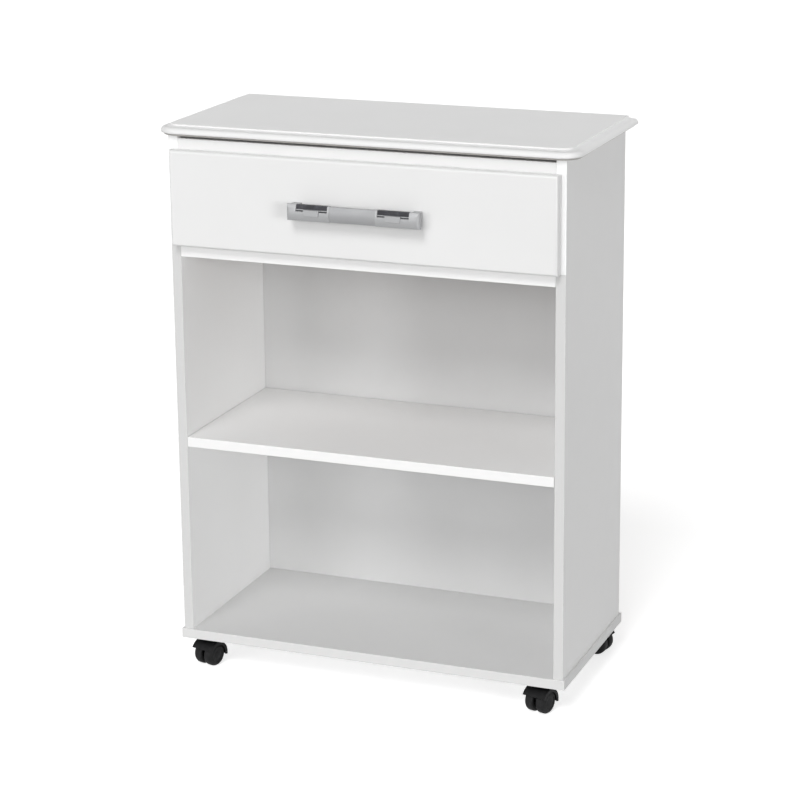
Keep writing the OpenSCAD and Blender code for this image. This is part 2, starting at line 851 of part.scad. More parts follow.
module handle_end(side) {
    top = handle_h / 2;
    color(c_silver) at_handle() on_side(side) difference() {
        union() {
            intersection() {
                translate([0, 0, -top]) linear_extrude(handle_h) end_plan();
                translate([grip_half, 0, 0]) along_x(handle_l / 2 - grip_half) {
                    bar_edge(0);
                    translate([-handle_back - 2, -top + post_in_z])
                        square([handle_back + 2, handle_h - 2 * post_in_z]);
                }
            }
            tongue();
        }
        // the window in front of the inlay, crossed by the rib and the tongue
        difference() {
            translate([window_x, -handle_out - 1, top - window_h])
                cube([window_w, window_in + 1, window_h + 1]);
            tongue();
            translate([window_x - 1, -handle_out + rib_in, rib_top - rib_h])
                cube([window_w + 2, window_in - inlay_t - rib_in, rib_h]);
        }
        // the seat of the inlay's upper leg
        translate([window_x, -handle_out, top - inlay_t])
            cube([window_w, handle_t + 1, inlay_t + 1]);
        // the hole for the screw
        translate([post_mid, 1, 0]) rotate([90, 0, 0])
            cylinder(h = handle_back + 2, d = handle_screw_d + 2 * hole_fit);
    }
}

// The trapezoid tongue that hangs from the rib, in front of the window's lower part
module tongue() {
    low = rib_top - tongue_h;
    translate([tongue_x, -handle_out - tongue_out, 0])
        along_y(tongue_out + window_in - inlay_t) polygon([
            [-tongue_w / 2, rib_top],
            [tongue_w / 2, rib_top],
            [tongue_w / 2 - tongue_slope, low],
            [-tongue_w / 2 + tongue_slope, low],
        ]);
}

// The dark inlays: an upright strip at the bottom of each window, with a leg over the bar
module handle_inlays() {
    top = handle_h / 2;
    y = -handle_out + window_in - inlay_t;
    color(c_dark) at_handle() for (side = [-1, 1]) on_side(side)
        translate([window_x, 0, 0]) along_x(window_w) {
            translate([y, top - window_h]) square([inlay_t, window_h]);
            translate([y, top - inlay_t])
                square([handle_t - window_in + inlay_t, inlay_t]);
        }
}

module handle_screws() {
    color(c_zinc) place() for (side = [-1, 1])
        translate([side * post_mid, -front_gap, handle_mid_z]) rotate([90, 0, 0])
            screw(front_t + handle_back, handle_screw_d, 2 * handle_screw_d, head_t);
}

// ---- Drawer runners -----------------------------------------------------------

// A runner's parts are drawn with x inwards from the panel and z from its underside
module at_runner(side) {
    place() from_panel(side) translate([0, 0, run_z]) children();
}

module cabinet_runner(side) {
    color(c_runner) at_runner(side) difference() {
        translate([0, cabinet_run_y, 0]) along_y(run_l) {
            square([sheet, channel_h]);
            square([channel_w, sheet]);
            translate([0, channel_h - sheet]) square([channel_top_w, sheet]);
        }
        // the upper flange is cut back round the front roller
        translate([sheet, cabinet_run_y - 1, channel_h - 2 * sheet])
            cube([channel_w, 2 * roller_in, 3 * sheet]);
        for (y = run_screw_y)
            translate([-1, y, channel_h / 2]) rotate([0, 90, 0])
                cylinder(h = sheet + 2, d = wood_screw_d + 2 * hole_fit);
        translate([-1, cabinet_roller_y, cabinet_roller_z]) rotate([0, 90, 0])
            cylinder(h = sheet + 2, d = roller_pin_d + 2 * hole_fit);
    }
}

module drawer_runner(side) {
    color(c_runner) at_runner(side) difference() {
        translate([0, -front_gap, 0]) along_y(side_l) {
            translate([web_s, 0]) square([sheet, ride_z + sheet]);
            translate([web_s, 0]) square([side_t + sheet - 1, sheet]);
            translate([run_space - ride_w - sheet, ride_z])
                square([ride_w + sheet, sheet]);
        }
        for (y = run_screw_y)
            translate([run_space + side_t / 2, y, -1])
                cylinder(h = sheet + 2, d = wood_screw_d + 2 * hole_fit);
        translate([web_s - 1, drawer_roller_y, drawer_roller_z]) rotate([0, 90, 0])
            cylinder(h = sheet + 2, d = roller_pin_d + 2 * hole_fit);
    }
}

// A nylon roller along +X, centred on the origin, with a hollow in each face
module roller() {
    rotate([0, 90, 0]) rotate_extrude() difference() {
        translate([roller_pin_d / 2 + spin_fit, -roller_w / 2])
            square([roller_r - roller_pin_d / 2 - spin_fit, roller_w]);
        for (s = [-1, 1])
            translate([roller_pin_d / 2 + 2, s * roller_w / 2 - 1])
                square([roller_r - roller_pin_d / 2 - 3.5, 2]);
    }
}

module cabinet_roller(side) {
    color(c_nylon) at_runner(side)
        translate([roller_s, cabinet_roller_y, cabinet_roller_z]) roller();
}

module drawer_roller(side) {
    color(c_nylon) at_runner(side)
        translate([roller_s, drawer_roller_y, drawer_roller_z]) roller();
}

// The rivet that a roller turns on, from s0 to its head's outer face at s1
module roller_pin(s0, s1) {
    translate([min(s0, s1), 0, 0]) rotate([0, 90, 0])
        cylinder(h = abs(s1 - s0), d = roller_pin_d);
    translate([s1 > s0 ? s1 - pin_head_t : s1, 0, 0]) rotate([0, 90, 0])
        cylinder(h = pin_head_t, d = roller_pin_d + 3);
}

module cabinet_roller_pins() {
    color(c_zinc) for (side = [-1, 1]) at_runner(side)
        translate([0, cabinet_roller_y, cabinet_roller_z])
            roller_pin(0, roller_s + pin_end);
}

module drawer_roller_pins() {
    color(c_zinc) for (side = [-1, 1]) at_runner(side)
        translate([0, drawer_roller_y, drawer_roller_z])
            roller_pin(run_space, roller_s - pin_end);
}

module cabinet_runner_screws() {
    color(c_zinc) for (side = [-1, 1], y = run_screw_y) at_runner(side)
        translate([sheet, y, channel_h / 2]) rotate([0, -90, 0])
            screw(screw_l() + sheet, wood_screw_d, 2 * wood_screw_d, 0.5);
}

module drawer_runner_screws() {
    color(c_zinc) for (side = [-1, 1], y = run_screw_y) at_runner(side)
        translate([run_space + side_t / 2, y, 0])
            screw(up_screw_l(), wood_screw_d, 2 * wood_screw_d, head_t);
}

// ---- Casters ------------------------------------------------------------------

// Casters 0 to 3: front left, front right, rear left, rear right. The front pair
// trails forwards and a little to the left, the rear pair outwards.
function caster_x(i) = (i % 2 == 0 ? -1 : 1) * (half_w - caster_in_x);
function caster_y(i) = i < 2 ? caster_front_in : panel_d - caster_rear_in;
function caster_turn(i) = i < 2 ? -15 : (i == 2 ? -80 : 80);

// At caster i, unturned; at_swivel also turns to the way that its wheels point
module at_caster(i) {
    translate([caster_x(i), caster_y(i), 0]) children();
}

module at_swivel(i) {
    place() at_caster(i) rotate([0, 0, caster_turn(i)]) children();
}

module at_plate_screws() {
    for (x = [-1, 1], y = [-1, 1])
        translate([x * plate_screw, y * plate_screw, 0]) children();
}

module caster_plate(i) {
    color(c_black) place() at_caster(i) difference() {
        union() {
            translate([-plate_w / 2, -plate_w / 2, caster_h - plate_t])
                linear_extrude(plate_t) soft_rect(plate_w, plate_w, 4);
            translate([0, 0, caster_h - plate_t - race_h])
                cylinder(h = race_h + plate_t / 2, d = boss_d);
        }
        translate([0, 0, caster_h - plate_t - race_h - 1])
            cylinder(h = plate_t + race_h + 2, d = king_d + 2 * hole_fit);
        translate([0, 0, caster_h - king_head_t])
            cylinder(h = king_head_t + 1, d = king_head_d + 4 * hole_fit);
        at_plate_screws() translate([0, 0, caster_h - plate_t - 1])
            cylinder(h = plate_t + 2, d = wood_screw_d + 2 * hole_fit);
    }
}

module kingpins() {
    low = seat_z - turn_gap - king_head_t;
    color(c_zinc) place() for (i = [0 : 3]) at_caster(i) {
        translate([0, 0, low]) cylinder(h = caster_h - low, d = king_d);
        translate([0, 0, low]) cylinder(h = king_head_t, d = king_head_d);
        translate([0, 0, caster_h - king_head_t])
            cylinder(h = king_head_t, d = king_head_d);
    }
}

module caster_screws() {
    color(c_zinc) place() for (i = [0 : 3]) at_caster(i) at_plate_screws()
        translate([0, 0, caster_h - plate_t])
            screw(plate_t + caster_screw_in(), wood_screw_d, 2 * wood_screw_d, head_t);
}

// A sector of radius r between two angles, for outlines drawn round the axle
module sector(r, a0, a1) {
    intersection() {
        circle(r);
        polygon([
            [0, 0],
            2 * r * [cos(a0), sin(a0)],
            2 * r * [cos((2 * a0 + a1) / 3), sin((2 * a0 + a1) / 3)],
            2 * r * [cos((a0 + 2 * a1) / 3), sin((a0 + 2 * a1) / 3)],
            2 * r * [cos(a1), sin(a1)],
        ]);
    }
}

// A slice of the hood of width l, centred on x, drawn from an outline round the axle
module hood_slice(x, l) {
    translate([x - l / 2, -trail, wheel_r]) along_x(l) children();
}

module hood(i) {
    room = hood_half - hood_t / 2 - web_t / 2;
    color(c_black) at_swivel(i) difference() {
        union() {
            // the boss round the kingpin, and the hood with its middle web
            translate([0, 0, boss_z]) cylinder(h = hood_top - boss_z, d = boss_d);
            hood_slice(0, 2 * hood_half) sector(hood_r, hood_from, hood_to);
            hood_slice(0, web_t) circle(hub_r + 0.5);
        }
        for (side = [-1, 1]) on_side(side) {
            // the room for a wheel, and the opening in the cheek that laps over its rim
            hood_slice(web_t / 2 + room / 2, room) circle(hood_r_in);
            hood_slice(web_t / 2 + room, room) circle(wheel_r - cheek_lap);
        }
        // the kingpin's bore and the room for its lower head
        translate([0, 0, seat_z - 1])
            cylinder(h = boss_t + 2, d = king_d + 2 * spin_fit);
        translate([0, 0, wheel_r + hub_r])
            cylinder(h = seat_z - wheel_r - hub_r, d = king_head_d + 2 * turn_gap);
        // the bore that grips the axle
        hood_slice(0, web_t + 2) circle(axle_d / 2);
    }
}

// The axle ends in the wheels' blind bores
module axle(i) {
    color(c_zinc) at_swivel(i)
        hood_slice(0, 2 * (wheel_x + wheel_w - face_t - turn_gap)) circle(axle_d / 2);
}

// A wheel's section: x from the axle's axis, y from the face next to the web
module wheel_section() {
    rim = wheel_r - hub_r - tread_r;
    difference() {
        square([wheel_r, wheel_w]);
        translate([wheel_r, 0]) mirror([1, 0]) corner_cut(tread_r / 2);
        translate([wheel_r, wheel_w]) mirror([1, 0]) mirror([0, 1]) corner_cut(tread_r);
        // the blind bore, and a hollow round the hub in the inner face
        translate([-1, -1]) square([axle_d / 2 + spin_fit + 1, wheel_w - face_t + 1]);
        translate([hub_r, -1]) square([rim, wheel_w - face_t + 1]);
        // a shallow ring in the closed outer face
        translate([hub_r, wheel_w - face_in]) square([rim - face_in, face_in + 1]);
    }
}

module wheel(i, side) {
    color(c_black) at_swivel(i) on_side(side)
        translate([wheel_x, -trail, wheel_r]) rotate([0, 90, 0])
            rotate_extrude($fn = 72) wheel_section();
}

// ---- The pieces ---------------------------------------------------------------

worktop();
side_panel(-1);  // side_panel_left
side_panel(1);  // side_panel_right
base_board();
back_panel();
middle_shelf();
upper_rail();
lower_rail();
shelf_pins();
cam_locks();
cam_bolts();
base_screws();
back_nails();
drawer_front();
drawer_side(-1);  // drawer_side_left
drawer_side(1);  // drawer_side_right
drawer_back();
drawer_bottom();
drawer_cams();
drawer_bolts();
drawer_screws();
handle_grip();
handle_end(-1);  // handle_end_left
handle_end(1);  // handle_end_right
handle_inlays();
handle_screws();
cabinet_runner(-1);  // cabinet_runner_left
cabinet_runner(1);  // cabinet_runner_right
drawer_runner(-1);  // drawer_runner_left
drawer_runner(1);  // drawer_runner_right
cabinet_roller(-1);  // cabinet_roller_left
cabinet_roller(1);  // cabinet_roller_right
drawer_roller(-1);  // drawer_roller_left
drawer_roller(1);  // drawer_roller_right
cabinet_roller_pins();
drawer_roller_pins();
cabinet_runner_screws();
drawer_runner_screws();
caster_plate(0);  // caster_plate_front_left
caster_plate(1);  // caster_plate_front_right
caster_plate(2);  // caster_plate_rear_left
caster_plate(3);  // caster_plate_rear_right
kingpins();
caster_screws();
hood(0);  // hood_front_left
hood(1);  // hood_front_right
hood(2);  // hood_rear_left
hood(3);  // hood_rear_right
axle(0);  // axle_front_left
axle(1);  // axle_front_right
axle(2);  // axle_rear_left
axle(3);  // axle_rear_right
wheel(0, -1);  // wheel_front_left_a
wheel(0, 1);  // wheel_front_left_b
wheel(1, -1);  // wheel_front_right_a
wheel(1, 1);  // wheel_front_right_b
wheel(2, -1);  // wheel_rear_left_a
wheel(2, 1);  // wheel_rear_left_b
wheel(3, -1);  // wheel_rear_right_a
wheel(3, 1);  // wheel_rear_right_b
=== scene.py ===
import bpy
import bmesh
import json
import math
from mathutils import Matrix, Vector

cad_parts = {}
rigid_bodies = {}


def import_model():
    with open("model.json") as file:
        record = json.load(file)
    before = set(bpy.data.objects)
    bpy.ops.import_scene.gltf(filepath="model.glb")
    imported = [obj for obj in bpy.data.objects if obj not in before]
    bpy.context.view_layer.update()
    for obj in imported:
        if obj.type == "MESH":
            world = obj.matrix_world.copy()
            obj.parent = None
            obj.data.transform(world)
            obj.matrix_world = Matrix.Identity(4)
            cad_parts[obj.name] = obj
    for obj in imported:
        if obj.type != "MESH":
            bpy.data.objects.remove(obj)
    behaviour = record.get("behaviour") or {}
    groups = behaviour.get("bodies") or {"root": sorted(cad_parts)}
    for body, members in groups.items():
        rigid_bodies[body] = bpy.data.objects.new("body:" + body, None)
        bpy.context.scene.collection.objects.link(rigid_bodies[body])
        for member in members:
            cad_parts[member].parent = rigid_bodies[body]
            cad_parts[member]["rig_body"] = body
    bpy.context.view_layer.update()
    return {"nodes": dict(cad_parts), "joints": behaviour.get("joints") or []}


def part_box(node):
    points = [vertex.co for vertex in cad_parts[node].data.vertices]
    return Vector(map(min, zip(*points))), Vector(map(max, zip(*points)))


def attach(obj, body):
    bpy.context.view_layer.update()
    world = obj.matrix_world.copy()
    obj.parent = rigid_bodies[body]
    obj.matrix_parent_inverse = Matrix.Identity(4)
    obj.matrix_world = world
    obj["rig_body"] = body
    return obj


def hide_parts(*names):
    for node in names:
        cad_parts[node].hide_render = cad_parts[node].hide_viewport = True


print("microwave cart: loading the frame")
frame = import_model()
cadNodes = frame["nodes"]

mm = 0.001
corners = ("front_left", "front_right", "rear_left", "rear_right")


# camera, light and floor

shot = {
    "lens": 111.63,
    "sensor": 36.0,
    "shiftX": -0.0375,
    "shiftY": -0.075,
    "distance": 3.48839,
    "aside": 0.100154,        # target, right of the middle of the cart
    "aboveBase": 0.500934,    # target, above the base board's underside
    "azimuth": 20.8908,
    "elevation": 15.0705,
    "roll": -0.385,
}


def makeCamera():
    azimuth = math.radians(shot["azimuth"])
    elevation = math.radians(shot["elevation"])
    roll = math.radians(shot["roll"])
    back = Vector((math.sin(azimuth) * math.cos(elevation),
                   -math.cos(azimuth) * math.cos(elevation),
                   math.sin(elevation)))
    right = Vector((math.cos(azimuth), math.sin(azimuth), 0))
    up = back.cross(right)
    turnedRight = math.cos(roll) * right + math.sin(roll) * up
    turnedUp = math.cos(roll) * up - math.sin(roll) * right
    target = Vector((shot["aside"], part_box("side_panel_left")[0].y,
                     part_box("base_board")[0].z + shot["aboveBase"]))
    data = bpy.data.cameras.new("camera")
    data.lens = shot["lens"]
    data.sensor_width = shot["sensor"]
    data.shift_x = shot["shiftX"]
    data.shift_y = shot["shiftY"]
    data.clip_end = 50
    camera = bpy.data.objects.new("camera", data)
    turn = Matrix((turnedRight, turnedUp, back)).transposed().to_4x4()
    camera.matrix_world = Matrix.Translation(target + back * shot["distance"]) @ turn
    bpy.context.scene.collection.objects.link(camera)
    bpy.context.scene.camera = camera


studio = {
    "sky": 0.18,
    "floorColour": 0.72,
    "floorGlow": 0.72,
    "floorSize": 30.0,
}
suns = {    # power, azimuth from the front towards the right, elevation, spread
    "left": (0.66, -25.0, 12.0, 22.0),
    "front": (0.22, 6.0, 18.0, 22.0),
    "high": (1.46, 0.0, 45.0, 24.0),
    "right": (1.26, 56.0, 4.0, 20.0),
    "above": (0.12, 20.0, 80.0, 40.0),
}


def makeSun(name, power, azimuth, elevation, spread):
    data = bpy.data.lights.new(name, "SUN")
    data.energy = power
    data.angle = math.radians(spread)
    light = bpy.data.objects.new(name, data)
    azimuth = math.radians(azimuth)
    elevation = math.radians(elevation)
    towards = Vector((math.sin(azimuth) * math.cos(elevation),
                      -math.cos(azimuth) * math.cos(elevation),
                      math.sin(elevation)))
    light.rotation_euler = towards.to_track_quat("Z", "Y").to_euler()
    bpy.context.scene.collection.objects.link(light)


def addShader(tree, kind, **values):
    node = tree.nodes.new(kind)
    for name, value in values.items():
        node.inputs[name].default_value = value
    return node


def seenDirectly(tree):
    # 1 for camera, glossy and transmission rays
    path = tree.nodes.new("ShaderNodeLightPath")
    value = path.outputs["Is Camera Ray"]
    for name in ("Is Glossy Ray", "Is Transmission Ray"):
        more = tree.nodes.new("ShaderNodeMath")
        more.operation = "MAXIMUM"
        tree.links.new(value, more.inputs[0])
        tree.links.new(path.outputs[name], more.inputs[1])
        value = more.outputs[0]
    return value


def makeSky():
    world = bpy.data.worlds.new("studio")
    bpy.context.scene.world = world
    world.use_nodes = True
    tree = world.node_tree
    tree.nodes.clear()
    seen = addShader(tree, "ShaderNodeBackground", Color=(1, 1, 1, 1), Strength=1.0)
    lit = addShader(tree, "ShaderNodeBackground", Color=(1, 1, 1, 1), Strength=studio["sky"])
    mix = tree.nodes.new("ShaderNodeMixShader")
    out = tree.nodes.new("ShaderNodeOutputWorld")
    tree.links.new(seenDirectly(tree), mix.inputs[0])
    tree.links.new(lit.outputs[0], mix.inputs[1])
    tree.links.new(seen.outputs[0], mix.inputs[2])
    tree.links.new(mix.outputs[0], out.inputs[0])


def makeFloor():
    size = studio["floorSize"]
    mesh = bpy.data.meshes.new("floor")
    mesh.from_pydata([(-size, -size, 0), (size, -size, 0), (size, size, 0), (-size, size, 0)],
                     [], [(0, 1, 2, 3)])
    floor = bpy.data.objects.new("floor", mesh)
    bpy.context.scene.collection.objects.link(floor)
    material = bpy.data.materials.new("pale floor")
    material.use_nodes = True
    tree = material.node_tree
    tree.nodes.clear()
    colour = studio["floorColour"]
    plain = addShader(tree, "ShaderNodeBsdfDiffuse", Color=(colour, colour, colour, 1))
    glow = addShader(tree, "ShaderNodeEmission", Color=(1, 1, 1, 1), Strength=studio["floorGlow"])
    both = tree.nodes.new("ShaderNodeAddShader")
    mix = tree.nodes.new("ShaderNodeMixShader")
    out = tree.nodes.new("ShaderNodeOutputMaterial")
    tree.links.new(plain.outputs[0], both.inputs[0])
    tree.links.new(glow.outputs[0], both.inputs[1])
    tree.links.new(seenDirectly(tree), mix.inputs[0])
    tree.links.new(plain.outputs[0], mix.inputs[1])
    tree.links.new(both.outputs[0], mix.inputs[2])
    tree.links.new(mix.outputs[0], out.inputs[0])
    mesh.materials.append(material)


# materials

def newMaterial(name, colour, roughness, metallic=0.0, specular=0.5):
    material = bpy.data.materials.new(name)
    material.use_nodes = True
    tree = material.node_tree
    shader = tree.nodes["Principled BSDF"]
    shader.inputs["Base Color"].default_value = (*colour, 1)
    shader.inputs["Roughness"].default_value = roughness
    shader.inputs["Metallic"].default_value = metallic
    shader.inputs["Specular IOR Level"].default_value = specular
    where = tree.nodes.new("ShaderNodeTexCoord")
    return material, tree, shader, where.outputs["Object"]


def stretched(tree, coordinates, scale):
    node = tree.nodes.new("ShaderNodeMapping")
    node.inputs["Scale"].default_value = scale
    tree.links.new(coordinates, node.inputs["Vector"])
    return node.outputs["Vector"]


def noise(tree, coordinates, scale, detail=3.0, roughness=0.5):
    node = tree.nodes.new("ShaderNodeTexNoise")
    node.inputs["Scale"].default_value = scale
    node.inputs["Detail"].default_value = detail
    node.inputs["Roughness"].default_value = roughness
    tree.links.new(coordinates, node.inputs["Vector"])
    return node.outputs["Fac"]


def remap(tree, value, low, high, fromLow=0.3, fromHigh=0.7):
    node = tree.nodes.new("ShaderNodeMapRange")
    node.inputs["From Min"].default_value = fromLow
    node.inputs["From Max"].default_value = fromHigh
    node.inputs["To Min"].default_value = low
    node.inputs["To Max"].default_value = high
    tree.links.new(value, node.inputs["Value"])
    return node.outputs["Result"]


def blended(tree, factor, first, second):
    node = tree.nodes.new("ShaderNodeMix")
    node.data_type = "RGBA"
    colourSockets = [s for s in node.inputs if s.type == "RGBA"]
    for socket, colour in zip(colourSockets, (first, second)):
        if isinstance(colour, tuple):
            socket.default_value = (*colour, 1)
        else:
            tree.links.new(colour, socket)
    tree.links.new(factor, node.inputs["Factor"])
    return [s for s in node.outputs if s.type == "RGBA"][0]


def bumped(tree, shader, height, strength, distance, previous=None):
    node = tree.nodes.new("ShaderNodeBump")
    node.inputs["Strength"].default_value = strength
    node.inputs["Distance"].default_value = distance
    tree.links.new(height, node.inputs["Height"])
    if previous is not None:
        tree.links.new(previous, node.inputs["Normal"])
    tree.links.new(node.outputs["Normal"], shader.inputs["Normal"])
    return node.outputs["Normal"]


def shade(colour, factor):
    return tuple(c * factor for c in colour)


# the one white foil takes its own tone on each board and edge band, set to how brightly each is
# lit: painted light and shade, as in the rails' two tones and the worktop's darker rim
foils = {   # linear colours of the faces and of the edge bands, roughness and specular level
    "worktop foil": (0.94, 0.80, 0.42, 0.25),
    "front foil": (0.78, 0.78, 0.42, 0.30),
    "carcass foil": (0.90, 0.64, 0.46, 0.28),
    "upper rail foil": (0.79, 0.79, 0.46, 0.28),
    "lower rail foil": (0.90, 0.90, 0.46, 0.28),
    "shelf foil": (0.92, 0.87, 0.46, 0.28),
    "base foil": (0.69, 0.69, 0.46, 0.28),
    "drawer box foil": (0.80, 0.80, 0.55, 0.25),
}
bandedBoards = {    # the board whose front edge places the band's hairline
    "carcass foil": "side_panel_left",
    "shelf foil": "middle_shelf",
    "base foil": "base_board",
}
foilGrain = {   # scales of the noises, depths and heights in metres, tones as shares or colours
    "pebbleScale": 1400.0,
    "pebbleDepth": 0.00004,
    "pebbleStrength": 0.22,
    "waveScale": 16.0,
    "waveDepth": 0.0006,
    "waveStrength": 0.05,
    "toneScale": 5.0,
    "tone": 0.975,
    "gloss": 0.05,
    "bandThickness": 0.0005,
    "hairline": 0.00009,
    "hairlineTone": 0.68,
    "rawAndShadeTone": (0.42, 0.4074, 0.3906),
    "rawAndShadeHeight": 0.0027,
    "mouldingDrop": 0.0006,
    "paintedLightSideRim": 0.94,
    "sideFade": 0.030,
    "warmth": 0.997,
    "bandWarmth": 0.995,
    "cloudScale": 40.0,
    "paintedLightBand": 0.92,
    "paintedShadeOuterFace": 0.81,
}


def compared(tree, operation, value, limit, slack=None):
    node = tree.nodes.new("ShaderNodeMath")
    node.operation = operation
    node.inputs[1].default_value = limit
    if slack is not None:
        node.inputs[2].default_value = slack
    tree.links.new(value, node.inputs[0])
    return node.outputs[0]


def axisOf(tree, place, axis):
    split = tree.nodes.new("ShaderNodeSeparateXYZ")
    tree.links.new(place, split.inputs[0])
    return split.outputs[axis]


def bandEdges(tree, place, node, face, band):
    # the glued band round a board's narrow sides, and the hairline where it meets the foil
    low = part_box(node)[0]
    thick = foilGrain["bandThickness"]
    hairline = shade(band, foilGrain["hairlineTone"])
    if node.startswith("side_panel"):
        # the panels' outer faces are painted a shade darker than the inner ones: painted shade
        outside = compared(tree, "ABSOLUTE", axisOf(tree, place, 0), 0.0)
        outerShade = foilGrain["paintedShadeOuterFace"]
        face = blended(tree, compared(tree, "GREATER_THAN", outside, -low.x - thick), face,
                       (outerShade, outerShade, outerShade * foilGrain["warmth"]))
        # beside the drawer front the band is painted paler than below it: painted light where the
        # drawer front shades it
        bandLight = foilGrain["paintedLightBand"]
        band = blended(tree, compared(tree, "GREATER_THAN", axisOf(tree, place, 2),
                                      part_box("drawer_front")[0].z), band, (bandLight,) * 3)
    colour = blended(tree, compared(tree, "LESS_THAN", axisOf(tree, place, 1), low.y + thick),
                     face, band)
    return blended(tree, compared(tree, "COMPARE", axisOf(tree, place, 1), low.y + thick,
                                  foilGrain["hairline"]), colour, hairline)


def makeFoil(name):
    # printed foil on particle board: fine pebbling, a slight telegraphing of the board below
    face, band, roughness, specular = foils[name]
    warmth = foilGrain["warmth"]
    face = (face, face, face * warmth)
    material, tree, shader, place = newMaterial(name, face, roughness, specular=specular)
    cloud = noise(tree, place, foilGrain["toneScale"], 4)
    colour = blended(tree, remap(tree, cloud, 0, 1), shade(face, foilGrain["tone"]), face)
    if name in bandedBoards:
        colour = bandEdges(tree, place, bandedBoards[name], colour,
                           (band, band, band * foilGrain["bandWarmth"]))
    if name == "worktop foil":
        # the moulded rim, and the recess under it, painted dark: raw board there and painted shade
        # under the lip
        low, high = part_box("worktop")
        height = axisOf(tree, place, 2)
        # the moulding is painted paler behind the front corners: painted light on the side rims
        corner = low.y + worktop["mouldWidth"] * mm
        side = remap(tree, axisOf(tree, place, 1), 0, 1, corner, corner + foilGrain["sideFade"])
        sideRimLight = foilGrain["paintedLightSideRim"]
        band = blended(tree, side, (band, band, band * warmth), (sideRimLight, sideRimLight, sideRimLight * warmth))
        rim = compared(tree, "LESS_THAN", height, high.z - foilGrain["mouldingDrop"])
        under = compared(tree, "LESS_THAN", height, low.z + foilGrain["rawAndShadeHeight"])
        colour = blended(tree, rim, colour, band)
        colour = blended(tree, under, colour, foilGrain["rawAndShadeTone"])
    tree.links.new(colour, shader.inputs["Base Color"])
    pebble = noise(tree, place, foilGrain["pebbleScale"], 2)
    patches = noise(tree, place, foilGrain["cloudScale"], 3)
    tree.links.new(remap(tree, patches, roughness - foilGrain["gloss"],
                         roughness + foilGrain["gloss"]), shader.inputs["Roughness"])
    normal = bumped(tree, shader, noise(tree, place, foilGrain["waveScale"], 2),
                    foilGrain["waveStrength"], foilGrain["waveDepth"])
    bumped(tree, shader, pebble, foilGrain["pebbleStrength"], foilGrain["pebbleDepth"], normal)
    return material


hardboard = {
    "white": (0.735, 0.735, 0.735),
    "brown": (0.20, 0.115, 0.06),
    "darkBrown": (0.13, 0.07, 0.035),
    "roughness": 0.55,
    "whiteRoughness": 0.5,
    "rawRoughness": 0.85,
    "specular": 0.3,
    "fibreScale": 260,
    "fibreBite": 0.65,
    "cloudScale": 9,
    "cloudTone": 0.96,
    "meshPitch": 900.0,
    "meshRandomness": 0.25,
    "meshOnWhite": 0.12,    # share of the pressed relief left under the lacquer
    "meshStrength": 0.35,
    "meshDepth": 0.0002,
    "skin": 0.0004,
}


def makeHardboard(name, axis, edge, below):
    # lacquered white on the face that shows, raw brown with a pressed mesh on the other
    board = hardboard
    material, tree, shader, place = newMaterial(name, board["white"], board["roughness"],
                                                specular=board["specular"])
    split = tree.nodes.new("ShaderNodeSeparateXYZ")
    tree.links.new(place, split.inputs[0])
    raw = tree.nodes.new("ShaderNodeMath")
    raw.operation = "LESS_THAN" if below else "GREATER_THAN"
    raw.inputs[1].default_value = edge
    tree.links.new(split.outputs[axis], raw.inputs[0])
    fibre = noise(tree, place, board["fibreScale"], 6, board["fibreBite"])
    brown = blended(tree, remap(tree, fibre, 0, 1), board["darkBrown"], board["brown"])
    cloud = noise(tree, place, board["cloudScale"], 4)
    white = blended(tree, remap(tree, cloud, 0, 1), shade(board["white"], board["cloudTone"]),
                    board["white"])
    tree.links.new(blended(tree, raw.outputs[0], white, brown), shader.inputs["Base Color"])
    tree.links.new(remap(tree, raw.outputs[0], board["whiteRoughness"], board["rawRoughness"],
                         0, 1), shader.inputs["Roughness"])
    grid = tree.nodes.new("ShaderNodeTexVoronoi")
    grid.inputs["Scale"].default_value = board["meshPitch"]
    grid.inputs["Randomness"].default_value = board["meshRandomness"]
    tree.links.new(place, grid.inputs["Vector"])
    mesh = tree.nodes.new("ShaderNodeMath")
    mesh.operation = "MULTIPLY"
    tree.links.new(grid.outputs["Distance"], mesh.inputs[0])
    tree.links.new(remap(tree, raw.outputs[0], board["meshOnWhite"], 1.0, 0, 1), mesh.inputs[1])
    bumped(tree, shader, mesh.outputs[0], board["meshStrength"], board["meshDepth"])
    return material


silver = {
    "ends": ((0.36, 0.363, 0.37), 0.54),    # colour and roughness
    "grip": ((0.32, 0.323, 0.33), 0.62),
    "metallic": 0.45,
    "flakeScale": 5200,
    "flakeTone": 0.1,
    "flakeStrength": 0.12,
    "flakeDepth": 0.00003,
    "cloudScale": 60,
    "smoother": 0.04,
    "rougher": 0.05,
    "coat": 0.12,
    "coatRoughness": 0.4,
}


def makeSilver(name, colour, roughness):
    # moulded and silver painted: fine metal flake, a satin coat
    material, tree, shader, place = newMaterial(name, colour, roughness, silver["metallic"])
    flake = noise(tree, place, silver["flakeScale"], 1)
    cloud = noise(tree, place, silver["cloudScale"], 3)
    fine = blended(tree, remap(tree, flake, 0, 1), shade(colour, 1 - silver["flakeTone"]),
                   shade(colour, 1 + silver["flakeTone"]))
    tree.links.new(fine, shader.inputs["Base Color"])
    tree.links.new(remap(tree, cloud, roughness - silver["smoother"],
                         roughness + silver["rougher"]), shader.inputs["Roughness"])
    bumped(tree, shader, flake, silver["flakeStrength"], silver["flakeDepth"])
    shader.inputs["Coat Weight"].default_value = silver["coat"]
    shader.inputs["Coat Roughness"].default_value = silver["coatRoughness"]
    return material


zinc = {
    "colour": (0.56, 0.57, 0.60),
    "cool": (0.50, 0.52, 0.57),
    "warm": (0.66, 0.65, 0.60),
    "roughness": 0.34,
    "smooth": 0.28,
    "rough": 0.46,
    "spangleScale": 180,
    "drawnScale": 900,
    "drawnStretch": (1, 1, 14),
    "drawnStrength": 0.12,
    "drawnDepth": 0.00003,
}


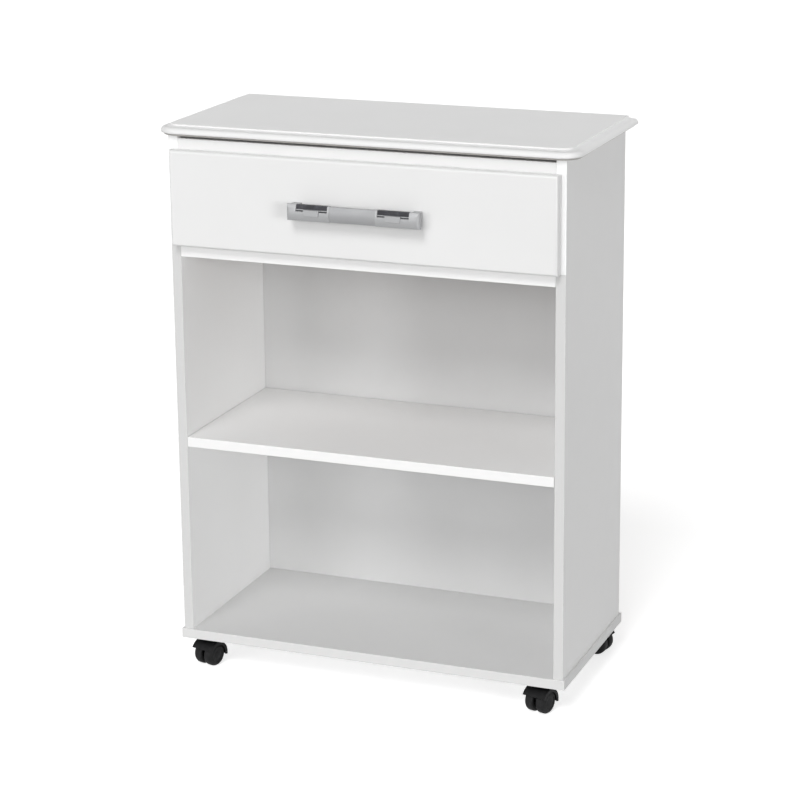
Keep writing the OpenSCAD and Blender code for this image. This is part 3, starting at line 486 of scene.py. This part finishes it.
def makeZinc(name):
    # zinc plating: cool and warm spangles, finely drawn
    material, tree, shader, place = newMaterial(name, zinc["colour"], zinc["roughness"], 1.0)
    cloud = noise(tree, place, zinc["spangleScale"], 4, 0.6)
    tree.links.new(blended(tree, remap(tree, cloud, 0, 1), zinc["cool"], zinc["warm"]),
                   shader.inputs["Base Color"])
    tree.links.new(remap(tree, cloud, zinc["smooth"], zinc["rough"]), shader.inputs["Roughness"])
    drawn = noise(tree, stretched(tree, place, zinc["drawnStretch"]), zinc["drawnScale"], 2)
    bumped(tree, shader, drawn, zinc["drawnStrength"], zinc["drawnDepth"])
    return material


paleFinishes = {    # the runners' epoxy coat and the rollers' nylon
    "runner paint": {"colour": (0.78, 0.78, 0.76), "roughness": 0.38, "cloudScale": 30,
                     "cloudTone": 0.95, "patchScale": 90, "smooth": 0.33, "rough": 0.45,
                     "peelScale": 1500, "peelStrength": 0.3, "peelDepth": 0.00006},
    "nylon": {"colour": (0.80, 0.80, 0.75), "roughness": 0.42, "cloudScale": 70,
              "cloudTone": 0.93, "patchScale": 220, "smooth": 0.36, "rough": 0.5,
              "peelScale": 900, "peelStrength": 0.12, "peelDepth": 0.00004,
              "milky": 0.2, "milkyReach": (0.002, 0.002, 0.0015)},
}


def makePale(name):
    facts = paleFinishes[name]
    colour = facts["colour"]
    material, tree, shader, place = newMaterial(name, colour, facts["roughness"])
    if "milky" in facts:
        shader.inputs["Subsurface Weight"].default_value = facts["milky"]
        shader.inputs["Subsurface Radius"].default_value = facts["milkyReach"]
    cloud = noise(tree, place, facts["cloudScale"], 3)
    tree.links.new(blended(tree, remap(tree, cloud, 0, 1), shade(colour, facts["cloudTone"]),
                           colour), shader.inputs["Base Color"])
    patches = noise(tree, place, facts["patchScale"], 2)
    tree.links.new(remap(tree, patches, facts["smooth"], facts["rough"]),
                   shader.inputs["Roughness"])
    peel = noise(tree, place, facts["peelScale"], 2)
    bumped(tree, shader, peel, facts["peelStrength"], facts["peelDepth"])
    return material


blackFinishes = {   # linear colour, least and greatest roughness, scale and depth of the grain
    "dark inlay": ((0.045, 0.045, 0.05), 0.4, 0.55, 1800, 0.00004),
    "black paint": ((0.008, 0.008, 0.009), 0.45, 0.6, 1200, 0.00004),
    "black hood": ((0.006, 0.006, 0.0065), 0.5, 0.66, 1500, 0.00005),
    "black wheel": ((0.009, 0.009, 0.0095), 0.55, 0.7, 1100, 0.00006),
}
blackGrain = {
    "specular": 0.16,
    "strength": 0.3,
    "cloudScale": 150,
    "dustScale": 90,
    "dustBite": 0.62,
    "dustFrom": 0.45,
    "dustTo": 0.8,
    "dustTone": 2.2,
}


def makeBlack(name):
    # black moulding or paint: spark-eroded grain, slightly dusty in patches
    colour, low, high, grain, depth = blackFinishes[name]
    facts = blackGrain
    material, tree, shader, place = newMaterial(name, colour, low, specular=facts["specular"])
    dust = noise(tree, place, facts["dustScale"], 5, facts["dustBite"])
    tree.links.new(blended(tree, remap(tree, dust, 0, 1, facts["dustFrom"], facts["dustTo"]),
                           colour, shade(colour, facts["dustTone"])), shader.inputs["Base Color"])
    tree.links.new(remap(tree, noise(tree, place, facts["cloudScale"], 3), low, high),
                   shader.inputs["Roughness"])
    bumped(tree, shader, noise(tree, place, grain, 2), facts["strength"], depth)
    return material


def makeMaterials():
    found = {name: makeFoil(name) for name in foils}
    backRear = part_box("back_panel")[1].y - hardboard["skin"]
    found["back board"] = makeHardboard("back board", 1, backRear, False)
    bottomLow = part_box("drawer_bottom")[0].z + hardboard["skin"]
    found["drawer bottom board"] = makeHardboard("drawer bottom board", 2, bottomLow, True)
    for part in ("ends", "grip"):
        found["silver " + part] = makeSilver("silver " + part, *silver[part])
    found["zinc"] = makeZinc("zinc")
    found.update({name: makePale(name) for name in paleFinishes})
    found.update({name: makeBlack(name) for name in blackFinishes})
    return found


# building pieces

def link(name, mesh):
    piece = bpy.data.objects.new(name, mesh)
    bpy.context.scene.collection.objects.link(piece)
    return piece


def finished(piece, name):
    # the piece with its modifiers worked in, as a plain mesh at the origin
    bpy.context.view_layer.update()
    evaluated = piece.evaluated_get(bpy.context.evaluated_depsgraph_get())
    mesh = bpy.data.meshes.new_from_object(evaluated)
    mesh.name = name
    bpy.data.objects.remove(piece)
    return link(name, mesh)


def smooth(piece, angle=32.0):
    piece.data.shade_smooth()
    piece.data.set_sharp_from_angle(angle=math.radians(angle))
    weighted = piece.modifiers.new("face normals", "WEIGHTED_NORMAL")
    weighted.keep_sharp = True
    weighted.weight = 80


def settle(piece, node, material):
    # body, material and place of a piece that stands for a CAD node
    if material is not None:
        piece.data.materials.clear()
        piece.data.materials.append(material)
    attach(piece, cadNodes[node]["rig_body"])
    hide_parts(node)


def copied(node, name, bevel=0.0003, steps=2, angle=40.0):
    # a CAD node's own shape with its doubles merged and its edges eased
    source = bmesh.new()
    source.from_mesh(cadNodes[node].data)
    bmesh.ops.remove_doubles(source, verts=source.verts, dist=1e-6)
    bmesh.ops.dissolve_limit(source, angle_limit=math.radians(0.3), verts=source.verts,
                             edges=source.edges)
    mesh = bpy.data.meshes.new(name)
    source.to_mesh(mesh)
    source.free()
    piece = link(name, mesh)
    if bevel > 0:
        ease = piece.modifiers.new("ease", "BEVEL")
        ease.width = bevel
        ease.segments = steps
        ease.limit_method = "ANGLE"
        ease.angle_limit = math.radians(angle)
        ease.use_clamp_overlap = True
        ease.harden_normals = False
        piece = finished(piece, name)
    smooth(piece)
    return finished(piece, name)


# geometry node trees

def newTree(name, **inputs):
    tree = bpy.data.node_groups.new(name, "GeometryNodeTree")
    tree.interface.new_socket("Geometry", in_out="INPUT", socket_type="NodeSocketGeometry")
    for title, value in inputs.items():
        if value is None:
            tree.interface.new_socket(title, in_out="INPUT", socket_type="NodeSocketObject")
            continue
        kind = "NodeSocketInt" if isinstance(value, int) else "NodeSocketFloat"
        socket = tree.interface.new_socket(title, in_out="INPUT", socket_type=kind)
        socket.default_value = value
    tree.interface.new_socket("Material", in_out="INPUT", socket_type="NodeSocketMaterial")
    tree.interface.new_socket("Geometry", in_out="OUTPUT", socket_type="NodeSocketGeometry")
    return tree, tree.nodes.new("NodeGroupInput"), tree.nodes.new("NodeGroupOutput")


def addNode(tree, kind, feeds=None, **settings):
    node = tree.nodes.new(kind)
    for name, value in settings.items():
        setattr(node, name, value)
    for name, source in (feeds or {}).items():
        socket = node.inputs[name] if isinstance(name, int) else openSocket(node, name)
        if isinstance(source, bpy.types.NodeSocket):
            tree.links.new(source, socket)
        else:
            socket.default_value = source
    return node


def openSocket(node, name):
    return [s for s in node.inputs if s.name == name and s.enabled][0]


def joinVector(tree, x, y, z):
    return addNode(tree, "ShaderNodeCombineXYZ", {"X": x, "Y": y, "Z": z}).outputs[0]


def reckon(tree, operation, first, second):
    node = addNode(tree, "ShaderNodeMath", {0: first, 1: second}, operation=operation)
    return node.outputs[0]


def closeTree(tree, inlet, outlet, geometry):
    whole = addNode(tree, "GeometryNodeRealizeInstances", {"Geometry": geometry})
    coated = addNode(tree, "GeometryNodeSetMaterial",
                     {"Geometry": whole.outputs[0], "Material": inlet.outputs["Material"]})
    tree.links.new(coated.outputs[0], outlet.inputs[0])


def grown(host, tree, name, material, **values):
    # runs a tree on its host and returns the result as a plain mesh
    modifier = host.modifiers.new("build", "NODES")
    modifier.node_group = tree
    values = dict(values, Material=material)
    for item in tree.interface.items_tree:
        if item.item_type == "SOCKET" and item.in_out == "INPUT" and item.name in values:
            modifier[item.identifier] = values[item.name]
    return finished(host, name)


def lineMesh(name, points, closed):
    count = len(points)
    edges = [(i, i + 1) for i in range(count - 1)]
    if closed:
        edges.append((count - 1, 0))
    mesh = bpy.data.meshes.new(name)
    mesh.from_pydata(points, edges, [])
    return link(name, mesh)


def arc(x, y, radius, start, stop, steps):
    # points (x, y) round a centre, angles in degrees, both ends included
    angles = [math.radians(start + (stop - start) * i / steps) for i in range(steps + 1)]
    return [(x + radius * math.cos(a), y + radius * math.sin(a)) for a in angles]


def turningTree():
    # a half outline, x out from the axis and y along it, swept once round the z axis
    tree, inlet, outlet = newTree("turned piece", Core=0.001, Steps=48)
    get = inlet.outputs
    ring = addNode(tree, "GeometryNodeCurvePrimitiveCircle",
                   {"Resolution": get["Steps"], "Radius": get["Core"]}, mode="RADIUS")
    level = addNode(tree, "GeometryNodeSetCurveNormal", {"Curve": ring.outputs[0]}, mode="Z_UP")
    outline = addNode(tree, "GeometryNodeMeshToCurve", {"Mesh": get["Geometry"]})
    turned = addNode(tree, "GeometryNodeCurveToMesh",
                     {"Curve": level.outputs[0], "Profile Curve": outline.outputs[0]})
    closeTree(tree, inlet, outlet, turned.outputs[0])
    return tree


def turned(name, outline, material, place=None, steps=48):
    # outline in mm, from the axis back to the axis; place is the turning axis's own frame
    core = turning["core"]
    host = lineMesh(name + " outline", [(x * mm - core, -y * mm, 0) for x, y in outline], False)
    piece = grown(host, turning["tree"], name, material, Core=core, Steps=steps)
    cleaned(piece)
    if place is not None:
        piece.data.transform(place)
    return piece


turning = {"core": 0.001, "tree": turningTree()}


# worktop

worktop = {     # sizes in mm
    "mouldWidth": 16.0,
    "beadRadius": 1.5,
    "beadStep": 0.6,
    "coveRadius": 12.0,
    "coveDrop": 3.7,
    "lipRadius": 6.5,
    "underRadius": 2.0,
    "lipFlat": 3.0,
    "cornerRadius": 30.0,
    "inset": 9.0,
    "cornerSteps": 28,
    "coveShift": 1.5,       # the hollow's centre, inwards of the lip's
    "coveStart": 240.5,     # the angle where the hollow meets the step
    "beadSteps": 8,
    "coveSteps": 10,
    "lipSteps": 16,
    "sharpAngle": 30,
}


def mouldingOutline(thickness):
    # x outwards from the edge of the flat, y up from the underside, in mm; the sweep turns
    # its outline upside down, so y is drawn negative
    w = worktop
    lipX = w["mouldWidth"] - w["lipRadius"]
    lipY = thickness - w["coveDrop"] - w["lipRadius"]
    underX = w["mouldWidth"] - w["underRadius"]
    coveX = lipX - w["coveShift"]
    coveY = thickness - w["coveDrop"] + w["coveRadius"]
    stepY = thickness - w["beadRadius"] - w["beadStep"]
    points = [(-w["inset"], 0), (-w["inset"], thickness)]
    points += arc(0, thickness - w["beadRadius"], w["beadRadius"], 90, 0, w["beadSteps"])
    points += [(w["beadRadius"], stepY)]
    points += arc(coveX, coveY, w["coveRadius"], w["coveStart"], 270, w["coveSteps"])
    points += arc(lipX, lipY, w["lipRadius"], 90, 0, w["lipSteps"])
    points += arc(underX, lipY, w["underRadius"], 0, -90, w["beadSteps"])[1:]
    points += [(underX - w["lipFlat"], lipY - w["underRadius"]), (underX - w["lipFlat"], 0)]
    return [(x, -y) for x, y in reversed(points)]


def worktopTree():
    tree, inlet, outlet = newTree("moulded worktop", HalfWidth=0.3, Front=-0.1, Rear=0.1, Low=0.8,
                                  Thickness=0.015, CornerRadius=0.014, Inset=0.009, CornerSteps=16)
    get = inlet.outputs
    left = reckon(tree, "MULTIPLY", get["HalfWidth"], -1.0)
    # the path of the flat's edge: up the left side, along the front, back along the right side
    line = addNode(tree, "GeometryNodeMeshLine", {"Count": 4})
    corner = addNode(tree, "GeometryNodeIndexSwitch", data_type="VECTOR")
    corner.index_switch_items.new()
    corner.index_switch_items.new()
    places = ((left, get["Rear"]), (left, get["Front"]),
              (get["HalfWidth"], get["Front"]), (get["HalfWidth"], get["Rear"]))
    for i, (x, y) in enumerate(places):
        tree.links.new(joinVector(tree, x, y, get["Low"]), corner.inputs[i + 1])
    tree.links.new(addNode(tree, "GeometryNodeInputIndex").outputs[0], corner.inputs["Index"])
    placed = addNode(tree, "GeometryNodeSetPosition",
                     {"Geometry": line.outputs[0], "Position": corner.outputs[0]})
    path = addNode(tree, "GeometryNodeMeshToCurve", {"Mesh": placed.outputs[0]})
    level = addNode(tree, "GeometryNodeSetCurveNormal", {"Curve": path.outputs[0]}, mode="Z_UP")
    rounded = addNode(tree, "GeometryNodeFilletCurve",
                      {"Curve": level.outputs[0], "Radius": get["CornerRadius"],
                       "Count": get["CornerSteps"]}, mode="POLY")
    outline = addNode(tree, "GeometryNodeMeshToCurve", {"Mesh": get["Geometry"]})
    rim = addNode(tree, "GeometryNodeCurveToMesh",
                  {"Curve": rounded.outputs[0], "Profile Curve": outline.outputs[0],
                   "Fill Caps": True})
    # the flat middle, which laps halfway into the rim
    lap = reckon(tree, "MULTIPLY", get["Inset"], 0.5)
    front = reckon(tree, "ADD", get["Front"], lap)
    depth = reckon(tree, "SUBTRACT", get["Rear"], front)
    width = reckon(tree, "MULTIPLY", reckon(tree, "SUBTRACT", get["HalfWidth"], lap), 2.0)
    slab = addNode(tree, "GeometryNodeMeshCube",
                   {"Size": joinVector(tree, width, depth, get["Thickness"])})
    middle = reckon(tree, "MULTIPLY", reckon(tree, "ADD", front, get["Rear"]), 0.5)
    height = reckon(tree, "ADD", get["Low"], reckon(tree, "MULTIPLY", get["Thickness"], 0.5))
    centre = joinVector(tree, 0.0, middle, height)
    moved = addNode(tree, "GeometryNodeTransform",
                    {"Geometry": slab.outputs[0], "Translation": centre})
    union = addNode(tree, "GeometryNodeMeshBoolean", operation="UNION", solver="EXACT")
    tree.links.new(rim.outputs[0], union.inputs["Mesh 2"])
    tree.links.new(moved.outputs[0], union.inputs["Mesh 2"])
    closeTree(tree, inlet, outlet, union.outputs[0])
    return tree


def cleaned(piece):
    # merges doubles and flat neighbours, and turns every face outwards
    work = bmesh.new()
    work.from_mesh(piece.data)
    bmesh.ops.remove_doubles(work, verts=work.verts, dist=2e-6)
    bmesh.ops.dissolve_limit(work, angle_limit=math.radians(0.2), verts=work.verts,
                             edges=work.edges)
    bmesh.ops.recalc_face_normals(work, faces=work.faces)
    work.to_mesh(piece.data)
    work.free()


def makeWorktop(materials):
    low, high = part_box("worktop")
    outline = mouldingOutline((high.z - low.z) / mm)
    host = lineMesh("worktop outline", [(x * mm, y * mm, 0) for x, y in outline], True)
    out = worktop["mouldWidth"] * mm
    piece = grown(host, worktopTree(), "worktopMoulded", materials["worktop foil"],
                  HalfWidth=high.x - out, Front=low.y + out, Rear=high.y, Low=low.z,
                  Thickness=high.z - low.z, Inset=worktop["inset"] * mm,
                  CornerRadius=(worktop["cornerRadius"] - worktop["mouldWidth"]) * mm,
                  CornerSteps=worktop["cornerSteps"])
    cleaned(piece)
    smooth(piece, worktop["sharpAngle"])
    piece = finished(piece, "worktopMoulded")
    settle(piece, "worktop", materials["worktop foil"])
    print("worktop:", len(piece.data.polygons), "faces")


# drawer front

drawerFront = {"edgeRadius": 4.0, "edgeSteps": 7, "backEase": 0.5, "backSteps": 2,
               "sharpAngle": 40}


def makeDrawerFront(materials):
    low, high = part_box("drawer_front")
    work = bmesh.new()
    bmesh.ops.create_cube(work, size=1.0)
    for v in work.verts:
        v.co = Vector([low[i] if v.co[i] < 0 else high[i] for i in range(3)])
    rim = [e for e in work.edges if all(v.co.y == low.y for v in e.verts)]
    bmesh.ops.bevel(work, geom=rim, offset=drawerFront["edgeRadius"] * mm, profile=0.5,
                    segments=drawerFront["edgeSteps"], affect="EDGES")
    back = [e for e in work.edges if all(abs(v.co.y - high.y) < 1e-7 for v in e.verts)]
    bmesh.ops.bevel(work, geom=back, offset=drawerFront["backEase"] * mm, profile=0.5,
                    segments=drawerFront["backSteps"], affect="EDGES")
    mesh = bpy.data.meshes.new("drawerFrontBoard")
    work.to_mesh(mesh)
    work.free()
    piece = link("drawerFrontBoard", mesh)
    smooth(piece, drawerFront["sharpAngle"])
    piece = finished(piece, "drawerFrontBoard")
    settle(piece, "drawer_front", materials["front foil"])
    print("drawer front done")


# boards and small parts that keep the frame's own shape

plainFinishes = {   # material: nodes that keep the CAD mesh
    "carcass foil": ("side_panel_left", "side_panel_right"),
    "upper rail foil": ("upper_rail",),
    "lower rail foil": ("lower_rail",),
    "shelf foil": ("middle_shelf",),
    "base foil": ("base_board",),
    "drawer box foil": ("drawer_side_left", "drawer_side_right", "drawer_back"),
    "back board": ("back_panel",),
    "drawer bottom board": ("drawer_bottom",),
    "zinc": ("cam_locks", "cam_bolts", "shelf_pins", "drawer_cams", "drawer_bolts",
             "cabinet_roller_pins", "drawer_roller_pins", "kingpins"),
    "runner paint": ("cabinet_runner_left", "cabinet_runner_right", "drawer_runner_left",
                     "drawer_runner_right"),
}


def finishPlainNodes(materials):
    for name, nodes in plainFinishes.items():
        for node in nodes:
            data = cadNodes[node].data
            data.materials.clear()
            data.materials.append(materials[name])


# handle

handle = {"endEase": 0.00035, "gripEase": 0.0002, "inlayEase": 0.0001}    # in metres


def makeHandle(materials):
    for side in ("left", "right"):
        end = copied("handle_end_" + side, "handleEnd_" + side, handle["endEase"], 3)
        settle(end, "handle_end_" + side, materials["silver ends"])
    grip = copied("handle_grip", "handleGripBar", handle["gripEase"], 2)
    settle(grip, "handle_grip", materials["silver grip"])
    inlays = copied("handle_inlays", "handleInlayStrips", handle["inlayEase"], 1)
    settle(inlays, "handle_inlays", materials["dark inlay"])
    print("handle done")


# casters

caster = {      # sizes in mm
    "wheelRadius": 17.5,
    "wheelWidth": 14.5,
    "webHalf": 2.75,
    "bore": 2.55,
    "hub": 6.0,
    "wall": 2.0,
    "hollowRim": 11.5,
    "innerRound": 3.0,
    "outerRound": 6.0,
    "ringOuter": 10.7,
    "ringDepth": 0.8,
    "grooveRadius": 12.4,
    "grooveDepth": 0.25,
    "capRise": 0.35,
    "capDish": 0.08,
    "capEase": 0.4,
    "ease": 0.3,
    "treadDrop": 0.02,
    "outerTurn": 78,
    "steps": 72,
    "sharpAngle": 35,
}
casterEases = {"plate": 0.0003, "hood": 0.0003, "axle": 0.0002}     # in metres


def wheelOutline():
    # from the blind bore round the hollow inner face, the tread and the closed outer face
    c = caster
    r, w, ease = c["wheelRadius"], c["wheelWidth"], c["ease"]
    deep = w - c["wall"]
    points = [(0, deep), (c["bore"], deep), (c["bore"], ease), (c["bore"] + ease, 0),
              (c["hub"], 0), (c["hub"], deep), (c["hollowRim"], deep), (c["hollowRim"], 0)]
    points += arc(r - c["innerRound"], c["innerRound"], c["innerRound"], -90, 0, 7)
    points += arc(r - c["outerRound"], w - c["outerRound"], c["outerRound"], 0, c["outerTurn"],
                  12)
    groove, step = c["grooveRadius"], c["grooveDepth"]
    points += [(groove + step, w - c["treadDrop"]), (groove, w - step), (groove - step, w)]
    points += [(c["ringOuter"] + ease, w), (c["ringOuter"], w - ease),
               (c["ringOuter"] - ease, w - c["ringDepth"]), (c["hub"] + ease, w - c["ringDepth"]),
               (c["hub"], w - c["capRise"] - ease), (c["hub"] - c["capEase"], w - c["capRise"])]
    points += [(c["hub"] * 0.5, w - c["capDish"]), (0, w)]
    return points


def makeCasters(materials):
    joints = {j["name"]: j for j in frame["joints"]}
    for corner in corners:
        plate = copied("caster_plate_" + corner, "casterPlate_" + corner, casterEases["plate"], 2)
        settle(plate, "caster_plate_" + corner, materials["black paint"])
        hood = copied("hood_" + corner, "casterHood_" + corner, casterEases["hood"], 2)
        settle(hood, "hood_" + corner, materials["black hood"])
        axle = copied("axle_" + corner, "casterAxle_" + corner, casterEases["axle"], 2)
        settle(axle, "axle_" + corner, materials["zinc"])
        for one, way in (("a", -1), ("b", 1)):
            spin = joints["spin_%s_%s" % (corner, one)]
            outwards = Vector(spin["axis"]) * way
            middle = Vector(spin["pos_m"]) + outwards * caster["webHalf"] * mm
            aim = outwards.to_track_quat("Z", "Y").to_matrix().to_4x4()
            place = Matrix.Translation(middle) @ aim
            wheel = turned("casterWheel_%s_%s" % (corner, one), wheelOutline(),
                           materials["black wheel"], place, caster["steps"])
            smooth(wheel, caster["sharpAngle"])
            wheel = finished(wheel, wheel.name)
            settle(wheel, "wheel_%s_%s" % (corner, one), None)
    print("casters done")


# rollers of the drawer's runners

roller = {      # sizes in mm
    "radius": 8.7,
    "width": 6.4,
    "bore": 2.05,
    "hub": 4.0,
    "rim": 7.2,
    "hollow": 1.0,
    "slope": 0.2,
    "ease": 0.5,
    "steps": 56,
    "sharpAngle": 35,
}


def makeRollers(materials):
    r = roller
    half = r["width"] / 2
    outline = []
    for way in (-1, 1):
        side = [(r["bore"], half), (r["hub"] - r["slope"], half),
                (r["hub"], half - r["hollow"]), (r["rim"], half - r["hollow"]),
                (r["rim"] + r["slope"], half)]
        side += arc(r["radius"] - r["ease"], half - r["ease"], r["ease"], 90, 0, 4)
        outline += [(x, y * way) for x, y in (side if way < 0 else reversed(side))]
    outline.append(outline[0])
    for which in ("cabinet", "drawer"):
        for side in ("left", "right"):
            node = "%s_roller_%s" % (which, side)
            low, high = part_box(node)
            place = Matrix.Translation((low + high) / 2) @ Matrix.Rotation(math.pi / 2, 4, "Y")
            piece = turned(node.replace("_roller", "Roller"), outline, materials["nylon"], place,
                           r["steps"])
            smooth(piece, r["sharpAngle"])
            piece = finished(piece, piece.name)
            settle(piece, node, None)
    print("rollers done")


# screws and nails

fasteners = {   # which way the heads face; height of the head and width of the neck in mm
    "caster_screws": {"piece": "casterScrews", "faces": "down", "head": 2.0, "neck": 3.5},
    "base_screws": {"piece": "baseScrews", "faces": "down", "head": 3.7, "neck": 6.0},
    "drawer_runner_screws": {"piece": "drawerRunnerScrews", "faces": "down", "head": 2.0,
                             "neck": 3.5},
    "cabinet_runner_screws": {"piece": "cabinetRunnerScrews", "faces": "inwards", "head": 0.5,
                              "neck": 3.5},
    "drawer_screws": {"piece": "drawerBackScrews", "faces": "outwards", "head": 2.0, "neck": 3.5},
    "handle_screws": {"piece": "handleScrews", "faces": "rear", "head": 2.0, "neck": 4.0},
    "back_nails": {"piece": "backNails", "faces": "rear", "head": 0.6, "neck": 1.6},
}
headShape = {   # shares of the head's radius, dome or height, and sizes in mm
    "crown": ((0.5, 0.25), (0.85, 0.8)),
    "shoulder": 0.12,
    "rim": 0.92,
    "ease": 0.1,
    "nailDome": 0.12,
    "screwDome": 0.45,
    "domeLimit": 0.9,
    "steps": 24,
    "sharpAngle": 35,
}
recess = {      # shares of the head's radius and height
    "bottom": 0.28,
    "top": 0.58,
    "halfWidth": 0.11,
    "depth": 0.62,
    "above": 0.2,
    "leastHead": 1.0,   # mm
}


def islands(node):
    # the box of each separate solid in a CAD node, in a fixed order
    work = bmesh.new()
    work.from_mesh(cadNodes[node].data)
    bmesh.ops.remove_doubles(work, verts=work.verts, dist=1e-6)
    boxes, seen = [], set()
    for start in work.verts:
        if start in seen:
            continue
        seen.add(start)
        group, index = [start], 0
        while index < len(group):
            for edge in group[index].link_edges:
                other = edge.other_vert(group[index])
                if other not in seen:
                    seen.add(other)
                    group.append(other)
            index += 1
        low = Vector([min(v.co[i] for v in group) for i in range(3)])
        high = Vector([max(v.co[i] for v in group) for i in range(3)])
        boxes.append((low, high))
    work.free()
    return sorted(boxes, key=lambda box: [round(c, 5) for c in (*box[0], *box[1])])


def facing(word, middle):
    return {"down": Vector((0, 0, -1)), "rear": Vector((0, 1, 0)),
            "inwards": Vector((-math.copysign(1, middle.x), 0, 0)),
            "outwards": Vector((math.copysign(1, middle.x), 0, 0))}[word]


def headOutline(radius, head, neck, length, dome):
    # from the crown of the head at y = 0 down the shank to its point
    points = [(0, 0)] + [(radius * x, -dome * y) for x, y in headShape["crown"]]
    points += [(radius, -dome - head * headShape["shoulder"])]
    points += [(radius, -head * headShape["rim"]), (radius - headShape["ease"], -head)]
    points += [(neck / 2, -head), (neck / 2, -length + neck), (0, -length)]
    return points


def fastenerTree():
    tree, inlet, outlet = newTree("set fasteners", Shape=None, Turn=math.tau, Seed=7)
    get = inlet.outputs
    spots = addNode(tree, "GeometryNodeMeshToPoints", {"Mesh": get["Geometry"]})
    aim = addNode(tree, "GeometryNodeInputNamedAttribute", {"Name": "aim"},
                  data_type="FLOAT_VECTOR")
    upright = addNode(tree, "FunctionNodeAlignRotationToVector", {"Vector": aim.outputs[0]},
                      axis="Z")
    chance = addNode(tree, "FunctionNodeRandomValue",
                     {"Min": 0.0, "Max": get["Turn"], "Seed": get["Seed"]}, data_type="FLOAT")
    angle = [o for o in chance.outputs if o.enabled][0]
    twist = addNode(tree, "FunctionNodeEulerToRotation",
                    {"Euler": joinVector(tree, 0.0, 0.0, angle)})
    driven = addNode(tree, "FunctionNodeRotateRotation",
                     {"Rotation": upright.outputs[0], "Rotate By": twist.outputs[0]},
                     rotation_space="LOCAL")
    shape = addNode(tree, "GeometryNodeObjectInfo", {"Object": get["Shape"]})
    placed = addNode(tree, "GeometryNodeInstanceOnPoints",
                     {"Points": spots.outputs[0], "Instance": shape.outputs["Geometry"],
                      "Rotation": driven.outputs[0]})
    closeTree(tree, inlet, outlet, placed.outputs[0])
    return tree


def recessed(shape, radius, head):
    # a cross recess in the crown of a screw's head
    cutter = bmesh.new()
    for turn in (0, math.pi / 2):
        made = bmesh.ops.create_cube(cutter, size=1.0)["verts"]
        for v in made:
            low = v.co.z < 0
            reach = radius * recess["bottom" if low else "top"]
            depth = -head * recess["depth"] if low else head * recess["above"]
            v.co = Vector((math.copysign(reach, v.co.x),
                           math.copysign(radius * recess["halfWidth"], v.co.y), depth)) * mm
        bmesh.ops.rotate(cutter, verts=made, matrix=Matrix.Rotation(turn, 3, "Z"))
    mesh = bpy.data.meshes.new("recess")
    cutter.to_mesh(mesh)
    cutter.free()
    tool = link("recess", mesh)
    carve = shape.modifiers.new("recess", "BOOLEAN")
    carve.operation = "DIFFERENCE"
    carve.solver = "EXACT"
    carve.use_self = True
    carve.object = tool
    shape = finished(shape, shape.name)
    bpy.data.objects.remove(tool)
    return shape


def makeFasteners(materials):
    tree = fastenerTree()
    for node, facts in fasteners.items():
        boxes = islands(node)
        spots, aims = [], []
        for low, high in boxes:
            middle = (low + high) / 2
            aim = facing(facts["faces"], middle)
            size = high - low
            length = abs(aim.dot(size)) / mm
            radius = max(c for i, c in enumerate(size) if abs(aim[i]) < 0.5) / 2 / mm
            spots.append(middle + aim * length * mm / 2)
            aims.append(aim)
        nail = node == "back_nails"
        dome = headShape["nailDome"]
        if not nail:
            dome = min(facts["head"] * headShape["screwDome"], headShape["domeLimit"])
        outline = headOutline(radius, facts["head"], facts["neck"], length, dome)
        shape = turned(facts["piece"] + " shape", outline, materials["zinc"], None,
                       headShape["steps"])
        if not nail:
            shape = recessed(shape, radius, max(facts["head"], recess["leastHead"]))
        smooth(shape, headShape["sharpAngle"])
        shape = finished(shape, shape.name)
        mesh = bpy.data.meshes.new(facts["piece"])
        mesh.from_pydata(spots, [], [])
        way = mesh.attributes.new("aim", "FLOAT_VECTOR", "POINT")
        for entry, aim in zip(way.data, aims):
            entry.vector = aim
        piece = grown(link(facts["piece"], mesh), tree, facts["piece"], materials["zinc"],
                      Shape=shape, Turn=math.tau, Seed=len(node))
        bpy.data.objects.remove(shape)
        settle(piece, node, None)
        print("fasteners:", node, len(boxes))


# the whole cart

bpy.context.scene.view_settings.view_transform = "Standard"
makeCamera()
for name, (power, azimuth, elevation, spread) in suns.items():
    makeSun(name, power, azimuth, elevation, spread)
makeSky()
makeFloor()
print("stage set")
materials = makeMaterials()
finishPlainNodes(materials)
makeWorktop(materials)
makeDrawerFront(materials)
makeHandle(materials)
makeCasters(materials)
makeRollers(materials)
makeFasteners(materials)

print("cart done")
